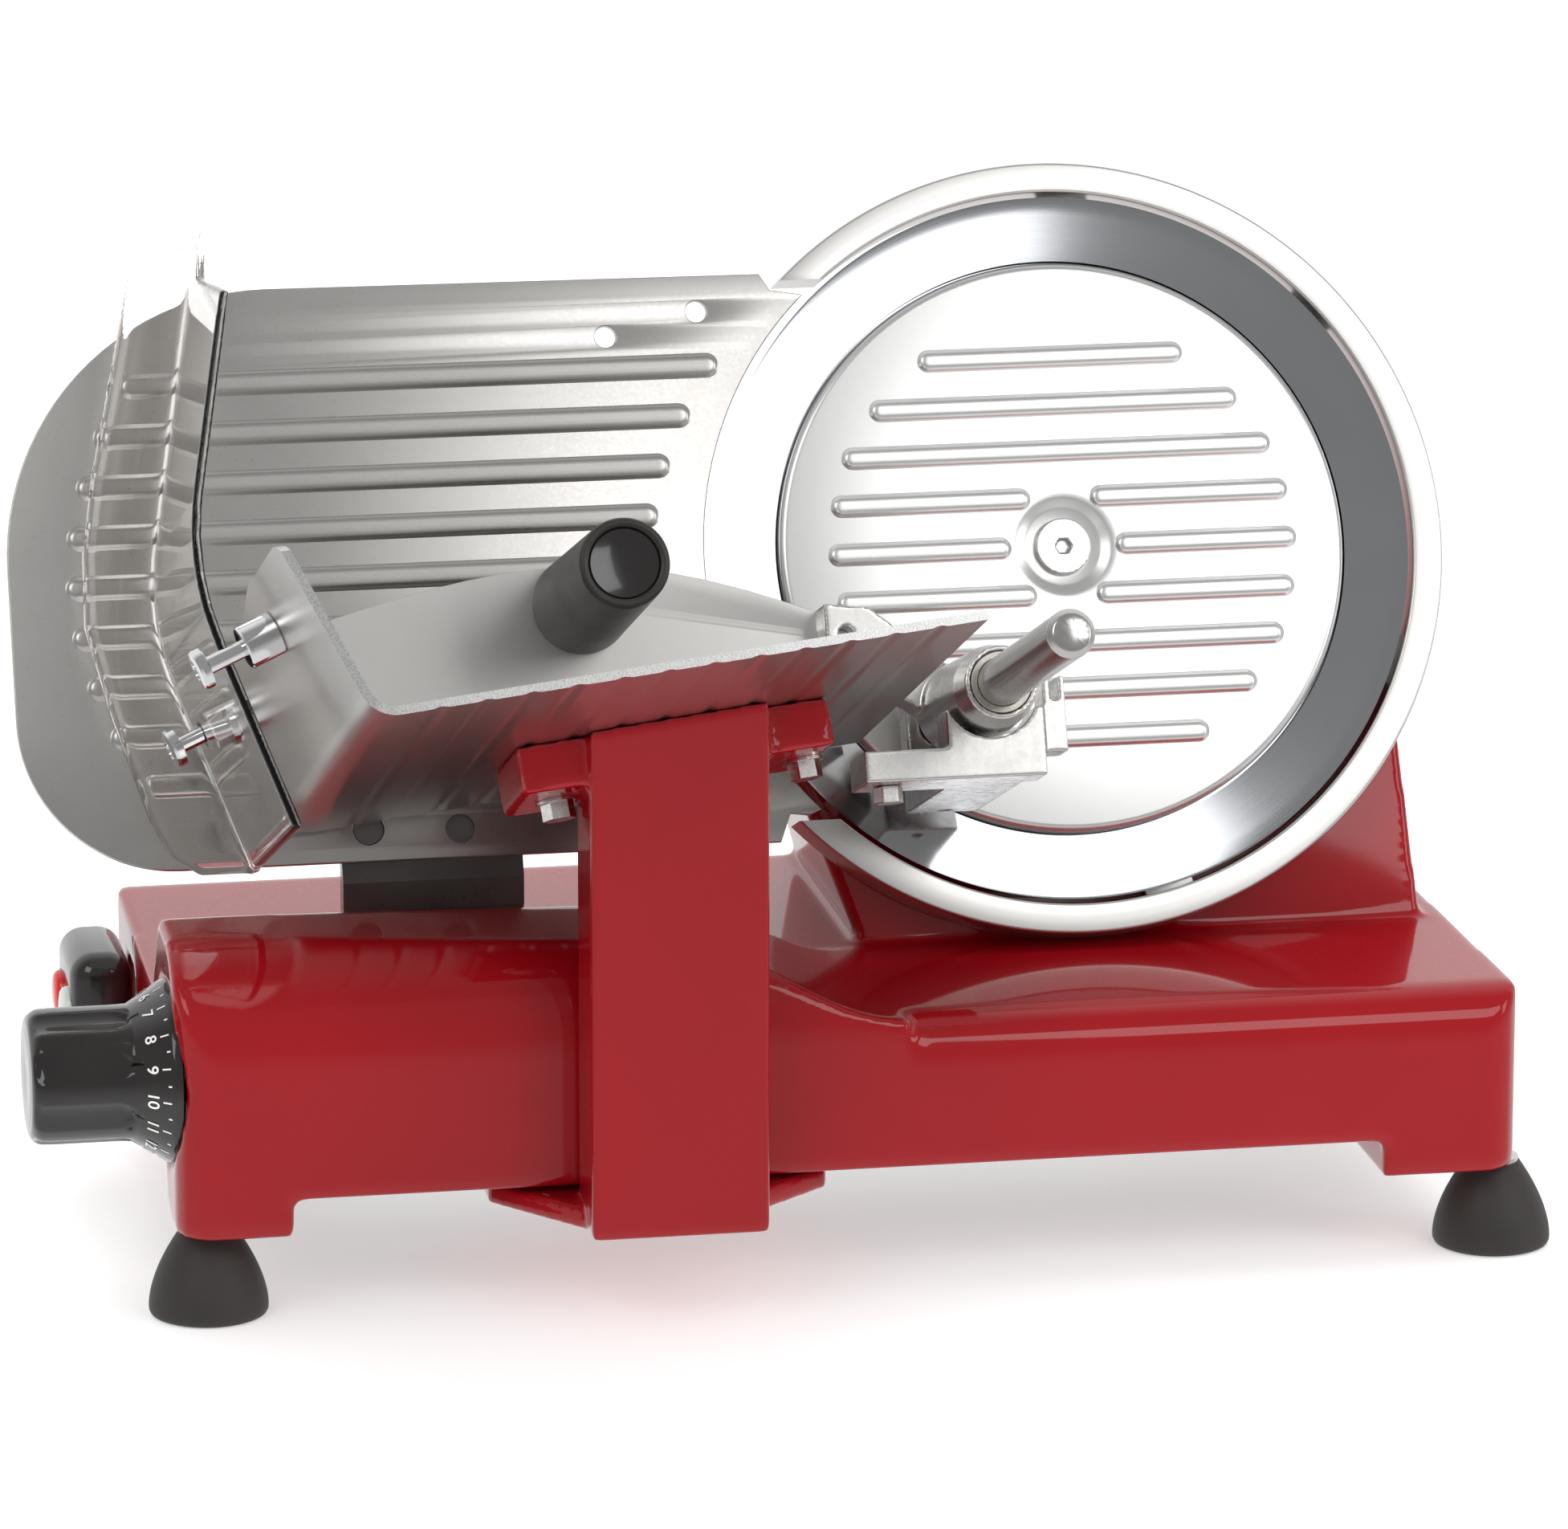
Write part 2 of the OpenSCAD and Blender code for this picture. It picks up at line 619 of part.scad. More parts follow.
// Hex bolts with washers that hold the tray on the carriage
module carriage_bolts() color(steel) on_tray() for (x = [77, 162.5]) translate([x, -101, 0]) {
    translate([0, 0, -16]) cylinder(h = 16, r = 3);
    translate([0, 0, -17.2]) cylinder(h = 1.2, r = 7);
    translate([0, 0, -23]) cylinder(h = 5.8, r = 5.8, $fn = 6);
}

// Folded sheet: floor and leaning left wall, with the wall's top rising towards the operator
module tray() color(alloy) on_tray() {
    c = [bend_r * (1 - sin(wall_lean)) / cos(wall_lean), bend_r];
    up = [-sin(wall_lean), cos(wall_lean)];
    in = [cos(wall_lean), sin(wall_lean)];
    outer = arc(c, bend_r, 180 + wall_lean, 270, 8);
    inner = arc(c, bend_r - sheet_t, 270, 180 + wall_lean, 8);
    intersection() {
        rotate([90, 0, 0]) linear_extrude(tray_w) polygon(concat([70 * up], outer,
            [[tray_l, 0], [tray_l, sheet_t]], inner, [70 * up + sheet_t * in]));
        yz_prism(-60, 400, [[1, -1], [1, 30], [0, 44], [-150, 64], [-228, 63.5], [-234, 60],
            [-tray_w, 3], [-tray_w - 1, -1]]);
    }
}

/* ---- Pusher rod and bracket ---- */

// Arm under the tray, a lug that holds the rod's rear end and a cradle below the pusher's boss
module rod_bracket() color(alloy) {
    on_blade() difference() {
        union() {
            translate([rod_a - 13, rod_b - 20, 12]) cube([26, 33, 14]);
            translate([rod_a - 13, rod_b - 30, 12]) cube([26, 12, 101]);
            translate([rod_a - 16, rod_b - 30, 93]) cube([34, 24, 20]);
            translate([rod_a + 18, rod_b - 22, 95]) cube([8, 26, 16]);
            translate([rod_a - 45, rod_b - 30, 83]) cube([34, 11, 30]);
        }
        translate([rod_a, rod_b, 0]) cylinder(h = 40, r = rod_d / 2);
        translate([rod_a, rod_b, 27]) cylinder(h = 120, r = 16.2);
        translate([rod_a, rod_b - 31, 19]) rotate([-90, 0, 0]) cylinder(h = 23, r = 2);
        translate([rod_a + 21, rod_b - 4, 90]) cube([2.5, 20, 40]);
        translate([rod_a - 35, rod_b - 40, 98]) rotate([-90, 0, 0]) cylinder(h = 30, r = 3);
    }
}

module bracket_bolt() color(steel) on_blade() translate([rod_a - 35, rod_b - 30, 98]) rotate([-90, 0, 0]) {
    translate([0, 0, -5.6]) cylinder(h = 5.6, r = 5.2, $fn = 6);
    cylinder(h = 10.5, r = 3);
}

module pusher_rod() color(steel) on_blade() translate([rod_a, rod_b, 12]) rotate_extrude($fn = fine)
    polygon([[0, 0], [rod_d / 2, 0], [rod_d / 2, rod_end - 14], [rod_d / 2 - 2, rod_end - 12],
        [0, rod_end - 11.2]]);

module rod_screw() color(steel) on_blade() translate([rod_a, rod_b - 20, 19]) rotate([-90, 0, 0])
    cylinder(h = 20 - rod_d / 2, r = 2);

/* ---- Hand guard ---- */

// Clear L-shaped moulding: one leg faces the operator, the other runs forward beside the tray
module hand_guard() color([0.85, 0.9, 0.92, 0.4]) on_blade() difference() {
    union() {
        translate([0, 0, 18]) linear_extrude(3) polygon(concat(ridge_path,
            [[-321, 115], [-325, 108], [-335, 68], [-343, 37], [-348.5, 8], [-349, -18], [-341, -49],
            [-329, -86], [-323, -98], [-314, -104]]));
        difference() {
            translate([0, 0, 18]) linear_extrude(132) polygon(concat(ridge_path,
                [for (i = [6:-1:0]) ridge_path[i] + [3, 0]]));
            yz_prism(-400, 200, [[119, 30], [98, 48], [76, 151], [130, 151]]);
        }
    }
    for (p = guard_points) guard_hole(p, 3.1);
}

module guard_hole(p, r) inverse_wall(p) translate([0, 0, -40]) cylinder(h = 60, r = r);

// From the blade frame to a fixing point on the outside of the tray's wall, z along its inward normal
module inverse_wall(p) translate([tray_a, tray_b, tray_n]) rotate([0, 0, tray_slope])
    rotate([-90 - tray_pitch, 0, 0]) rotate([0, -wall_lean, 0]) translate([0, p[0], p[1]])
    rotate([0, 90, 0]) children();

module guard_spacers() color(steel) on_blade() for (p = guard_points) inverse_wall(p)
    translate([0, 0, -guard_gap]) tube(guard_gap, 7.5, 3);

module guard_screws() color(steel) on_blade() for (p = guard_points) inverse_wall(p) {
    translate([0, 0, -26]) cylinder(h = 26, r = 3);
    translate([0, 0, -30]) cylinder(h = 4, r = 7);
}

/* ---- Pusher ---- */

module pusher_bush() color("goldenrod") on_blade() translate([rod_a, rod_b, boss_n])
    tube(boss_l, 10.5, rod_d / 2 + 0.05);

// Tapered boss on the rod, with the arm that carries the plate
module pusher_arm() color(alloy) on_blade() difference() {
    union() {
        translate([rod_a, rod_b, boss_n]) rotate_extrude($fn = fine) polygon([[10.55, 0], [15.5, 0],
            [15.5, 30], [14.5, boss_l - 12], [12.6, boss_l], [10.55, boss_l]]);
        translate([0, 0, pusher_n + 4]) linear_extrude(18) difference() {
            polygon([[-100, -26], [-84, -28], [-60, -48], [-44, -52], [-52, -76], [-72, -62], [-100, -48]]);
            translate([rod_a, rod_b]) circle(r = 10.55, $fn = fine);
        }
    }
    translate([-93, -37, 0]) cylinder(h = 120, r = 2.5);
}

// Arched plate with short teeth on the side that holds the meat
module pusher_plate() color(alloy) on_blade() {
    arch = [for (i = [0:16]) [-268 + i * 12, -22 - i * 0.9 + 21.5 * sin(i * 11.25)]];
    difference() {
        translate([0, 0, pusher_n]) linear_extrude(4) polygon(concat(arch,
            [[-76, -55.8], [-100, -60.9], [-262, -79.4]]));
        translate([-93, -37, 0]) cylinder(h = 120, r = 2.5);
        translate([handle_a, handle_b, 0]) cylinder(h = 120, r = 3);
    }
    for (x = [-250:14:-110]) translate([x, -50 + (x + 180) * 0.12, pusher_n - 7]) cylinder(h = 7, r = 1.6);
    translate([-93, -37, pusher_n]) cylinder(h = 14, r = 2.5);
}

module pusher_handle() color(black) on_blade() translate([handle_a, handle_b, pusher_n]) {
    translate([0, 0, 4]) rotate_extrude($fn = fine) polygon([[0, 0], [17, 0], [17.5, 3],
        [handle_d / 2 - 0.6, handle_l - 12], [handle_d / 2, handle_l - 1.5], [handle_d / 2 - 1.5, handle_l],
        [12, handle_l], [12, handle_l - 3], [0, handle_l - 3]]);
    cylinder(h = 4, r = 3);
}

module handle_cap() color([0.16, 0.13, 0.13]) on_blade()
    translate([handle_a, handle_b, pusher_n + 4 + handle_l - 3]) cylinder(h = 2.2, r = 12);

body_casting();
bottom_plate();
foot_front_left();
foot_front_right();
foot_rear_left();
foot_rear_right();
foot_screws();
guide_rod();
support_bar();
ring_guard();
ring_screws();
blade_spindle();
blade_bearings();
blade();
blade_pulley();
blade_screws();
blade_cover();
cover_bolt();
drive_belt();
motor();
motor_bolts();
motor_shaft();
motor_pulley();
capacitor();
switch_housing();
stop_button();
start_button();
button_springs();
cable_gland();
gauge_plate();
gauge_carrier();
gauge_screws();
gauge_guide();
dial_knob();
dial_shaft();
dial_bush();
dial_cam();
carriage_arm();
carriage_bushes();
roller_pin();
carriage_roller();
carriage_bolts();
tray();
rod_bracket();
bracket_bolt();
pusher_rod();
rod_screw();
hand_guard();
guard_spacers();
guard_screws();
pusher_bush();
pusher_arm();
pusher_plate();
pusher_handle();
handle_cap();
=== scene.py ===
import json
import math

import bmesh
import bpy
from mathutils import Matrix, Vector


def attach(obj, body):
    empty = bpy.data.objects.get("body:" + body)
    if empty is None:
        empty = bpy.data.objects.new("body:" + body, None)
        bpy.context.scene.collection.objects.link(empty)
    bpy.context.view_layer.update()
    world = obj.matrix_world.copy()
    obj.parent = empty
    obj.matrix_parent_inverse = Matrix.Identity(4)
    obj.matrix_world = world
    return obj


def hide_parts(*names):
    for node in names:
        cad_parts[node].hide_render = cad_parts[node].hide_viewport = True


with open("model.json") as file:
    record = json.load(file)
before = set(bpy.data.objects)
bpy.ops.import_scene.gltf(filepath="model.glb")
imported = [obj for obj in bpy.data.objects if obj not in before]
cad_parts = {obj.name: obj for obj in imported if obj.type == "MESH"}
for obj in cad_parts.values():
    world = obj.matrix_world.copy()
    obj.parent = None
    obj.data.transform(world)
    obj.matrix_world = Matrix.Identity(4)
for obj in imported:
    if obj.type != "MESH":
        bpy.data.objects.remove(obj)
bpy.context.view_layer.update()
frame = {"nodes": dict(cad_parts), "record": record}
body_of_node = {n: b for b, ns in frame["record"]["behaviour"]["bodies"].items() for n in ns}
slot_of_node = {s["node"]: s["material_slot"] for s in frame["record"]["subparts"]}
scene = bpy.context.scene

# ---------------------------------------------------------------- frames, in metres

MM = 0.001
TILT = math.radians(21.5)
BASE = Matrix.Translation((16 * MM, -53.5 * MM, 0))
BLADE = BASE @ Matrix.Translation((97.6 * MM, 130 * MM, 230 * MM)) @ Matrix.Rotation(
    math.pi / 2 - TILT, 4, "X")
TRAY = BLADE @ Matrix.Translation((-281 * MM, -90.5 * MM, 8 * MM)) @ Matrix.Rotation(
    math.radians(6.6), 4, "Z") @ Matrix.Rotation(math.radians(-92), 4, "X")
DIAL = BASE @ Matrix.Translation((-281.5 * MM, 38 * MM, 82 * MM)) @ Matrix.Rotation(
    math.pi / 2, 4, "Y")
ROD = BLADE @ Matrix.Translation((-52.5 * MM, -63.8 * MM, 0))

# ---------------------------------------------------------------- materials


def graph(name):
    """A new material with its shader and its object coordinates."""
    m = bpy.data.materials.new(name)
    m.use_nodes = True
    nodes, links = m.node_tree.nodes, m.node_tree.links
    shader = nodes["Principled BSDF"]
    coords = nodes.new("ShaderNodeTexCoord")
    return m, nodes, links, shader, coords.outputs["Object"]


def noise(nodes, links, vector, scale, detail=4.0, rough=0.55):
    n = nodes.new("ShaderNodeTexNoise")
    n.inputs["Scale"].default_value = scale
    n.inputs["Detail"].default_value = detail
    n.inputs["Roughness"].default_value = rough
    links.new(vector, n.inputs["Vector"])
    return n.outputs["Fac"]


def ramp(nodes, links, fac, stops):
    """A colour that follows a factor through (position, colour) stops."""
    r = nodes.new("ShaderNodeValToRGB")
    e = r.color_ramp.elements
    while len(e) < len(stops):
        e.new(0.5)
    for k, (p, c) in enumerate(stops):
        e[k].position = p
        e[k].color = (c[0], c[1], c[2], 1)
    links.new(fac, r.inputs["Fac"])
    return r.outputs["Color"]


def spread(nodes, links, fac, low, high):
    """A noise's middle range spread over low to high."""
    r = nodes.new("ShaderNodeMapRange")
    r.inputs["From Min"].default_value = 0.3
    r.inputs["From Max"].default_value = 0.7
    r.inputs["To Min"].default_value = low
    r.inputs["To Max"].default_value = high
    links.new(fac, r.inputs["Value"])
    return r.outputs["Result"]


def bump(nodes, links, shader, height, distance, strength):
    b = nodes.new("ShaderNodeBump")
    b.inputs["Strength"].default_value = strength
    b.inputs["Distance"].default_value = distance
    links.new(height, b.inputs["Height"])
    links.new(b.outputs["Normal"], shader.inputs["Normal"])


def stretched(nodes, links, vector, scale):
    m = nodes.new("ShaderNodeMapping")
    m.inputs["Scale"].default_value = scale
    links.new(vector, m.inputs["Vector"])
    return m.outputs["Vector"]


def local(nodes, links, vector, place):
    """Coordinates in a frame of the machine's own, such as the blade's."""
    m = nodes.new("ShaderNodeMapping")
    m.vector_type = "TEXTURE"
    m.inputs["Location"].default_value = place.to_translation()
    m.inputs["Rotation"].default_value = place.to_euler()
    links.new(vector, m.inputs["Vector"])
    return m.outputs["Vector"]


def turned(nodes, links, vector):
    """Coordinates that run round the local z axis: x is the radius, so a noise on them makes rings."""
    split = nodes.new("ShaderNodeSeparateXYZ")
    links.new(vector, split.inputs[0])
    flat = nodes.new("ShaderNodeCombineXYZ")
    links.new(split.outputs["X"], flat.inputs["X"])
    links.new(split.outputs["Y"], flat.inputs["Y"])
    length = nodes.new("ShaderNodeVectorMath")
    length.operation = "LENGTH"
    links.new(flat.outputs[0], length.inputs[0])
    out = nodes.new("ShaderNodeCombineXYZ")
    links.new(length.outputs["Value"], out.inputs["X"])
    links.new(split.outputs["Z"], out.inputs["Z"])
    return out.outputs[0]


def metal(name, light, dark, low, high, grain=None, scale=60.0, fine=0.00002, round_axis=False,
          patch=18.0, place=BLADE):
    """Bare metal: soft patches of tone, roughness that varies with them, and a fine grain."""
    m, nodes, links, shader, coords = graph(name)
    shader.inputs["Metallic"].default_value = 1.0
    cloud = noise(nodes, links, coords, patch, 5.0)
    links.new(ramp(nodes, links, cloud, [(0.3, dark), (0.7, light)]), shader.inputs["Base Color"])
    vector = local(nodes, links, coords, place)
    if round_axis:
        vector = turned(nodes, links, vector)
    if grain:
        vector = stretched(nodes, links, vector, grain)
    lines = noise(nodes, links, vector, scale, 6.0, 0.6)
    links.new(spread(nodes, links, lines, low, high), shader.inputs["Roughness"])
    bump(nodes, links, shader, lines, fine, 0.6)
    return m


def plastic(name, base, other, rough_low, rough_high, coat=0.0, scale=400.0, depth=0.00003):
    """Moulded plastic or rubber: two close tones, uneven gloss and a fine grain."""
    m, nodes, links, shader, coords = graph(name)
    cloud = noise(nodes, links, coords, 25.0, 5.0)
    links.new(ramp(nodes, links, cloud, [(0.3, base), (0.7, other)]), shader.inputs["Base Color"])
    grains = noise(nodes, links, coords, scale, 3.0)
    links.new(spread(nodes, links, cloud, rough_low, rough_high), shader.inputs["Roughness"])
    shader.inputs["Coat Weight"].default_value = coat
    shader.inputs["Coat Roughness"].default_value = 0.05
    bump(nodes, links, shader, grains, depth, 0.5)
    return m


def paint():
    """Red enamel: a deep base under a clear coat with a little orange peel."""
    m, nodes, links, shader, coords = graph("red_paint")
    cloud = noise(nodes, links, coords, 9.0, 4.0)
    links.new(ramp(nodes, links, cloud, [(0.3, (0.28, 0.002, 0.006)), (0.7, (0.32, 0.003, 0.008))]),
              shader.inputs["Base Color"])
    flakes = noise(nodes, links, coords, 900.0, 2.0)
    links.new(spread(nodes, links, flakes, 0.3, 0.4), shader.inputs["Roughness"])
    shader.inputs["Specular IOR Level"].default_value = 0.05
    shader.inputs["Coat Weight"].default_value = 0.85
    shader.inputs["Coat Roughness"].default_value = 0.05
    peel = noise(nodes, links, coords, 160.0, 2.0, 0.4)
    bump(nodes, links, shader, peel, 0.00004, 0.35)
    return m


def clear():
    """Clear moulded plastic, faintly warm."""
    m, nodes, links, shader, coords = graph("clear_guard")
    cloud = noise(nodes, links, coords, 30.0, 3.0)
    links.new(ramp(nodes, links, cloud, [(0.3, (0.90, 0.885, 0.87)), (0.7, (0.93, 0.915, 0.90))]),
              shader.inputs["Base Color"])
    links.new(spread(nodes, links, cloud, 0.0, 0.02), shader.inputs["Roughness"])
    shader.inputs["Transmission Weight"].default_value = 1.0
    shader.inputs["IOR"].default_value = 1.38
    wave = noise(nodes, links, coords, 24.0, 1.0)
    bump(nodes, links, shader, wave, 0.00003, 0.1)
    return m


M = {
    "red_paint": paint(),
    "aluminium": metal("aluminium", (0.70, 0.685, 0.665), (0.65, 0.635, 0.615), 0.28, 0.34, scale=900.0,
                       fine=0.000003),
    "plate": metal("plate_aluminium", (0.60, 0.585, 0.565), (0.56, 0.545, 0.525), 0.27, 0.33,
                   scale=900.0, fine=0.000003),
    "cover": metal("cover_aluminium", (0.93, 0.93, 0.92), (0.90, 0.90, 0.89), 0.29, 0.32,
                   scale=500.0, fine=0.0000008),
    "ring": metal("ring_aluminium", (0.77, 0.76, 0.74), (0.74, 0.73, 0.71), 0.28, 0.34,
                  grain=(1, 1, 0.1), scale=1400.0, fine=0.000004, round_axis=True),
    "cast_aluminium": metal("cast_aluminium", (0.76, 0.75, 0.73), (0.69, 0.68, 0.66), 0.20, 0.30,
                            scale=260.0, fine=0.00003, patch=60.0),
    "milled": metal("milled_aluminium", (0.86, 0.86, 0.85), (0.72, 0.72, 0.71), 0.18, 0.42,
                    grain=(1, 0.06, 1), scale=1500.0, fine=0.00006, place=TRAY),
    "blade_steel": metal("blade_steel", (0.50, 0.51, 0.53), (0.46, 0.47, 0.49), 0.08, 0.11,
                         grain=(1, 1, 0.02), scale=1600.0, fine=0.000003, round_axis=True),
    "chrome": metal("polished_steel", (0.80, 0.80, 0.81), (0.74, 0.74, 0.75), 0.05, 0.11,
                    scale=700.0, fine=0.000003),
    "steel": metal("turned_steel", (0.66, 0.65, 0.63), (0.58, 0.57, 0.56), 0.14, 0.28,
                   grain=(1, 1, 0.2), scale=1800.0, fine=0.00001, round_axis=True),
    "zinc": metal("zinc_plate", (0.72, 0.72, 0.70), (0.60, 0.60, 0.60), 0.16, 0.32, scale=500.0,
                  fine=0.00003),
    "bronze": metal("sintered_bronze", (0.56, 0.53, 0.48), (0.49, 0.46, 0.41), 0.24, 0.36, scale=900.0,
                    fine=0.00002),
    "dark_bracket": plastic("dark_bracket", (0.07, 0.065, 0.06), (0.11, 0.105, 0.10), 0.22, 0.36, 0.3,
                            300.0, 0.00006),
    "rubber": plastic("foot_rubber", (0.026, 0.022, 0.020), (0.038, 0.032, 0.029), 0.5, 0.66, 0.0,
                      700.0, 0.00006),
    "black_plastic": plastic("gloss_black", (0.010, 0.0085, 0.008), (0.015, 0.013, 0.012), 0.10, 0.2,
                             0.6, 300.0, 0.00001),
    "handle_black": plastic("satin_black", (0.020, 0.017, 0.016), (0.028, 0.024, 0.022), 0.34, 0.46,
                            0.0, 1100.0, 0.00004),
    "red_button": plastic("button_red", (0.62, 0.012, 0.01), (0.70, 0.018, 0.014), 0.14, 0.24, 0.5),
    "white_button": plastic("button_white", (0.62, 0.68, 0.62), (0.70, 0.75, 0.70), 0.14, 0.24, 0.4),
    "nylon": plastic("nylon", (0.72, 0.71, 0.66), (0.80, 0.79, 0.75), 0.4, 0.5),
    "motor_grey": plastic("motor_grey", (0.10, 0.11, 0.12), (0.15, 0.16, 0.17), 0.3, 0.42, 0.2),
    "capacitor_white": plastic("capacitor", (0.70, 0.70, 0.67), (0.78, 0.78, 0.76), 0.4, 0.5),
    "print": plastic("dial_print", (0.80, 0.80, 0.78), (0.88, 0.88, 0.86), 0.35, 0.45),
    "clear_guard": clear(),
}

# ---------------------------------------------------------------- mesh tools


def put(bm, name, matrix, material, body, smooth=35):
    """A finished bmesh, in metres in its own frame, becomes a piece that rides on a body."""
    bmesh.ops.recalc_face_normals(bm, faces=bm.faces)
    bm.transform(matrix)
    me = bpy.data.meshes.new(name)
    bm.to_mesh(me)
    bm.free()
    me.shade_smooth()
    me.set_sharp_from_angle(angle=math.radians(smooth))
    ob = bpy.data.objects.new(name, me)
    scene.collection.objects.link(ob)
    me.materials.append(M[material])
    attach(ob, body)
    return ob


def bevel(ob, width, segments):
    """Breaks every edge sharper than 30 degrees by a width in mm."""
    b = ob.modifiers.new("bevel", "BEVEL")
    b.width = width * MM
    b.segments = segments
    b.limit_method = "ANGLE"
    b.angle_limit = math.radians(30)
    b.harden_normals = True
    b.use_clamp_overlap = True


def node_bmesh(node, matrix):
    """The CAD node's mesh in a local frame, welded, with flat faces joined into single polygons."""
    bm = bmesh.new()
    bm.from_mesh(frame["nodes"][node].data)
    bm.transform(matrix.inverted())
    bmesh.ops.remove_doubles(bm, verts=bm.verts, dist=2e-6)
    bmesh.ops.dissolve_limit(bm, angle_limit=math.radians(0.4), verts=bm.verts, edges=bm.edges)
    return bm


def refine(node, matrix=BLADE, width=0.4, material=None, segments=2):
    """The CAD node's own shape with its sharp edges broken."""
    ob = put(node_bmesh(node, matrix), node + "_finished", matrix,
             material or slot_of_node[node], body_of_node[node])
    bevel(ob, width, segments)
    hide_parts(node)
    return ob


def cast(node, voxel, rounds, matrix=BASE, material=None, extra=None, back=0.0):
    """The CAD node as a casting: every edge and inner corner runs out in a soft fillet.

    The skin can stand back a little, in mm, where another piece comes close.
    """
    bm = bmesh.new()
    bm.from_mesh(frame["nodes"][node].data)
    bm.transform(matrix.inverted())
    bmesh.ops.remove_doubles(bm, verts=bm.verts, dist=2e-6)
    if extra:
        extra(bm)
    ob = put(bm, node + "_cast", matrix, material or slot_of_node[node], body_of_node[node])
    r = ob.modifiers.new("remesh", "REMESH")
    r.mode = "VOXEL"
    r.voxel_size = voxel * MM
    r.use_smooth_shade = True
    s = ob.modifiers.new("smooth", "SMOOTH")
    s.factor = 0.5
    s.iterations = rounds
    if back:
        d = ob.modifiers.new("stand back", "DISPLACE")
        d.mid_level = 0
        d.strength = -back * MM
    settle(ob)
    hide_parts(node)
    return ob


def settle(ob):
    """Applies the modifiers of one object."""
    deps = bpy.context.evaluated_depsgraph_get()
    me = bpy.data.meshes.new_from_object(ob.evaluated_get(deps))
    old = ob.data
    ob.modifiers.clear()
    ob.data = me
    bpy.data.meshes.remove(old)
    for p in me.polygons:
        p.use_smooth = True


def lathe(name, profile, matrix, material, body, steps=128, smooth=35, flute=None):
    """A profile of (radius, z) in mm, turned about the local z axis.

    flute, where given, is how deep the surface is cut at a radius, height and angle.
    """
    bm = bmesh.new()
    rings = []
    for r, z in profile:
        if r < 1e-6:
            rings.append([bm.verts.new((0, 0, z * MM))])
            continue
        row = []
        for k in range(steps):
            t = 2 * math.pi * k / steps
            reach = r - flute(r, z, t) if flute else r
            row.append(bm.verts.new((reach * MM * math.cos(t), reach * MM * math.sin(t), z * MM)))
        rings.append(row)
    for a, b in zip(rings, rings[1:]):
        for k in range(steps):
            j = (k + 1) % steps
            if len(a) == 1 and len(b) == 1:
                continue
            if len(a) == 1:
                bm.faces.new((a[0], b[k], b[j]))
            elif len(b) == 1:
                bm.faces.new((a[k], a[j], b[0]))
            else:
                bm.faces.new((a[k], a[j], b[j], b[k]))
    return put(bm, name, matrix, material, body, smooth)


def arc(cx, cy, r, a0, a1, n):
    """Points along an arc from one angle to another, in degrees, in n steps."""
    return [(cx + r * math.cos(math.radians(a0 + (a1 - a0) * k / n)),
             cy + r * math.sin(math.radians(a0 + (a1 - a0) * k / n))) for k in range(n + 1)]


def mound(bm, a0, a1, b, width, height, n0):
    """One pressed rib: a bar with round ends that swells softly out of a plate."""
    profile = [(1.22, -0.15), (1.10, 0.02), (1.0, 0.16), (0.9, 0.42), (0.78, 0.70), (0.6, 0.90),
               (0.36, 0.98), (0.12, 1.0)]
    rows = []
    for w, h in profile:
        r = width / 2 * w
        left, right = a0 + width / 2, a1 - width / 2
        outline = arc(right, b, r, -90, 90, 14) + arc(left, b, r, 90, 270, 14)
        rows.append([bm.verts.new((x * MM, y * MM, (n0 + height * h) * MM)) for x, y in outline])
    count = len(rows[0])
    for low, high in zip(rows, rows[1:]):
        for k in range(count):
            j = (k + 1) % count
            bm.faces.new((low[k], low[j], high[j], high[k]))
    bm.faces.new(rows[-1])
    bm.faces.new(list(reversed(rows[0])))


def bead(bm, points, radius):
    """A round bead along points in mm, closed at both ends."""
    sides = 16
    pts = [Vector(p) * MM for p in points]
    rows = []
    for k, p in enumerate(pts):
        d = (pts[min(k + 1, len(pts) - 1)] - pts[max(k - 1, 0)]).normalized()
        side = d.cross(Vector((0.3, 0.1, 1))).normalized()
        top = side.cross(d).normalized()
        rows.append([bm.verts.new(p + radius * MM * (side * math.cos(q) + top * math.sin(q)))
                     for q in [2 * math.pi * s / sides for s in range(sides)]])
    for low, high in zip(rows, rows[1:]):
        for k in range(sides):
            j = (k + 1) % sides
            bm.faces.new((low[k], low[j], high[j], high[k]))
    bm.faces.new(list(reversed(rows[0])))
    bm.faces.new(rows[-1])


def flat_plate(outline, holes, low, high, edge):
    """A plate with through holes and softly broken edges, from low to high along the local z axis."""
    cu = bpy.data.curves.new("plate", "CURVE")
    cu.dimensions = "2D"
    cu.fill_mode = "BOTH"
    cu.extrude = ((high - low) / 2 - edge) * MM
    cu.bevel_depth = edge * MM
    cu.bevel_resolution = 2
    cu.offset = -edge * MM
    for loop in [outline] + holes:
        spline = cu.splines.new("POLY")
        spline.points.add(len(loop) - 1)
        for point, (x, y) in zip(spline.points, loop):
            point.co = (x * MM, y * MM, 0, 1)
        spline.use_cyclic_u = True
    ob = bpy.data.objects.new("plate_tmp", cu)
    scene.collection.objects.link(ob)
    bpy.context.view_layer.update()
    me = bpy.data.meshes.new_from_object(ob.evaluated_get(bpy.context.evaluated_depsgraph_get()))
    bpy.data.objects.remove(ob)
    me.transform(Matrix.Translation((0, 0, (low + high) / 2 * MM)))
    bm = bmesh.new()
    bm.from_mesh(me)
    bpy.data.meshes.remove(me)
    bmesh.ops.remove_doubles(bm, verts=bm.verts, dist=1e-6)
    return bm


# ---------------------------------------------------------------- red castings


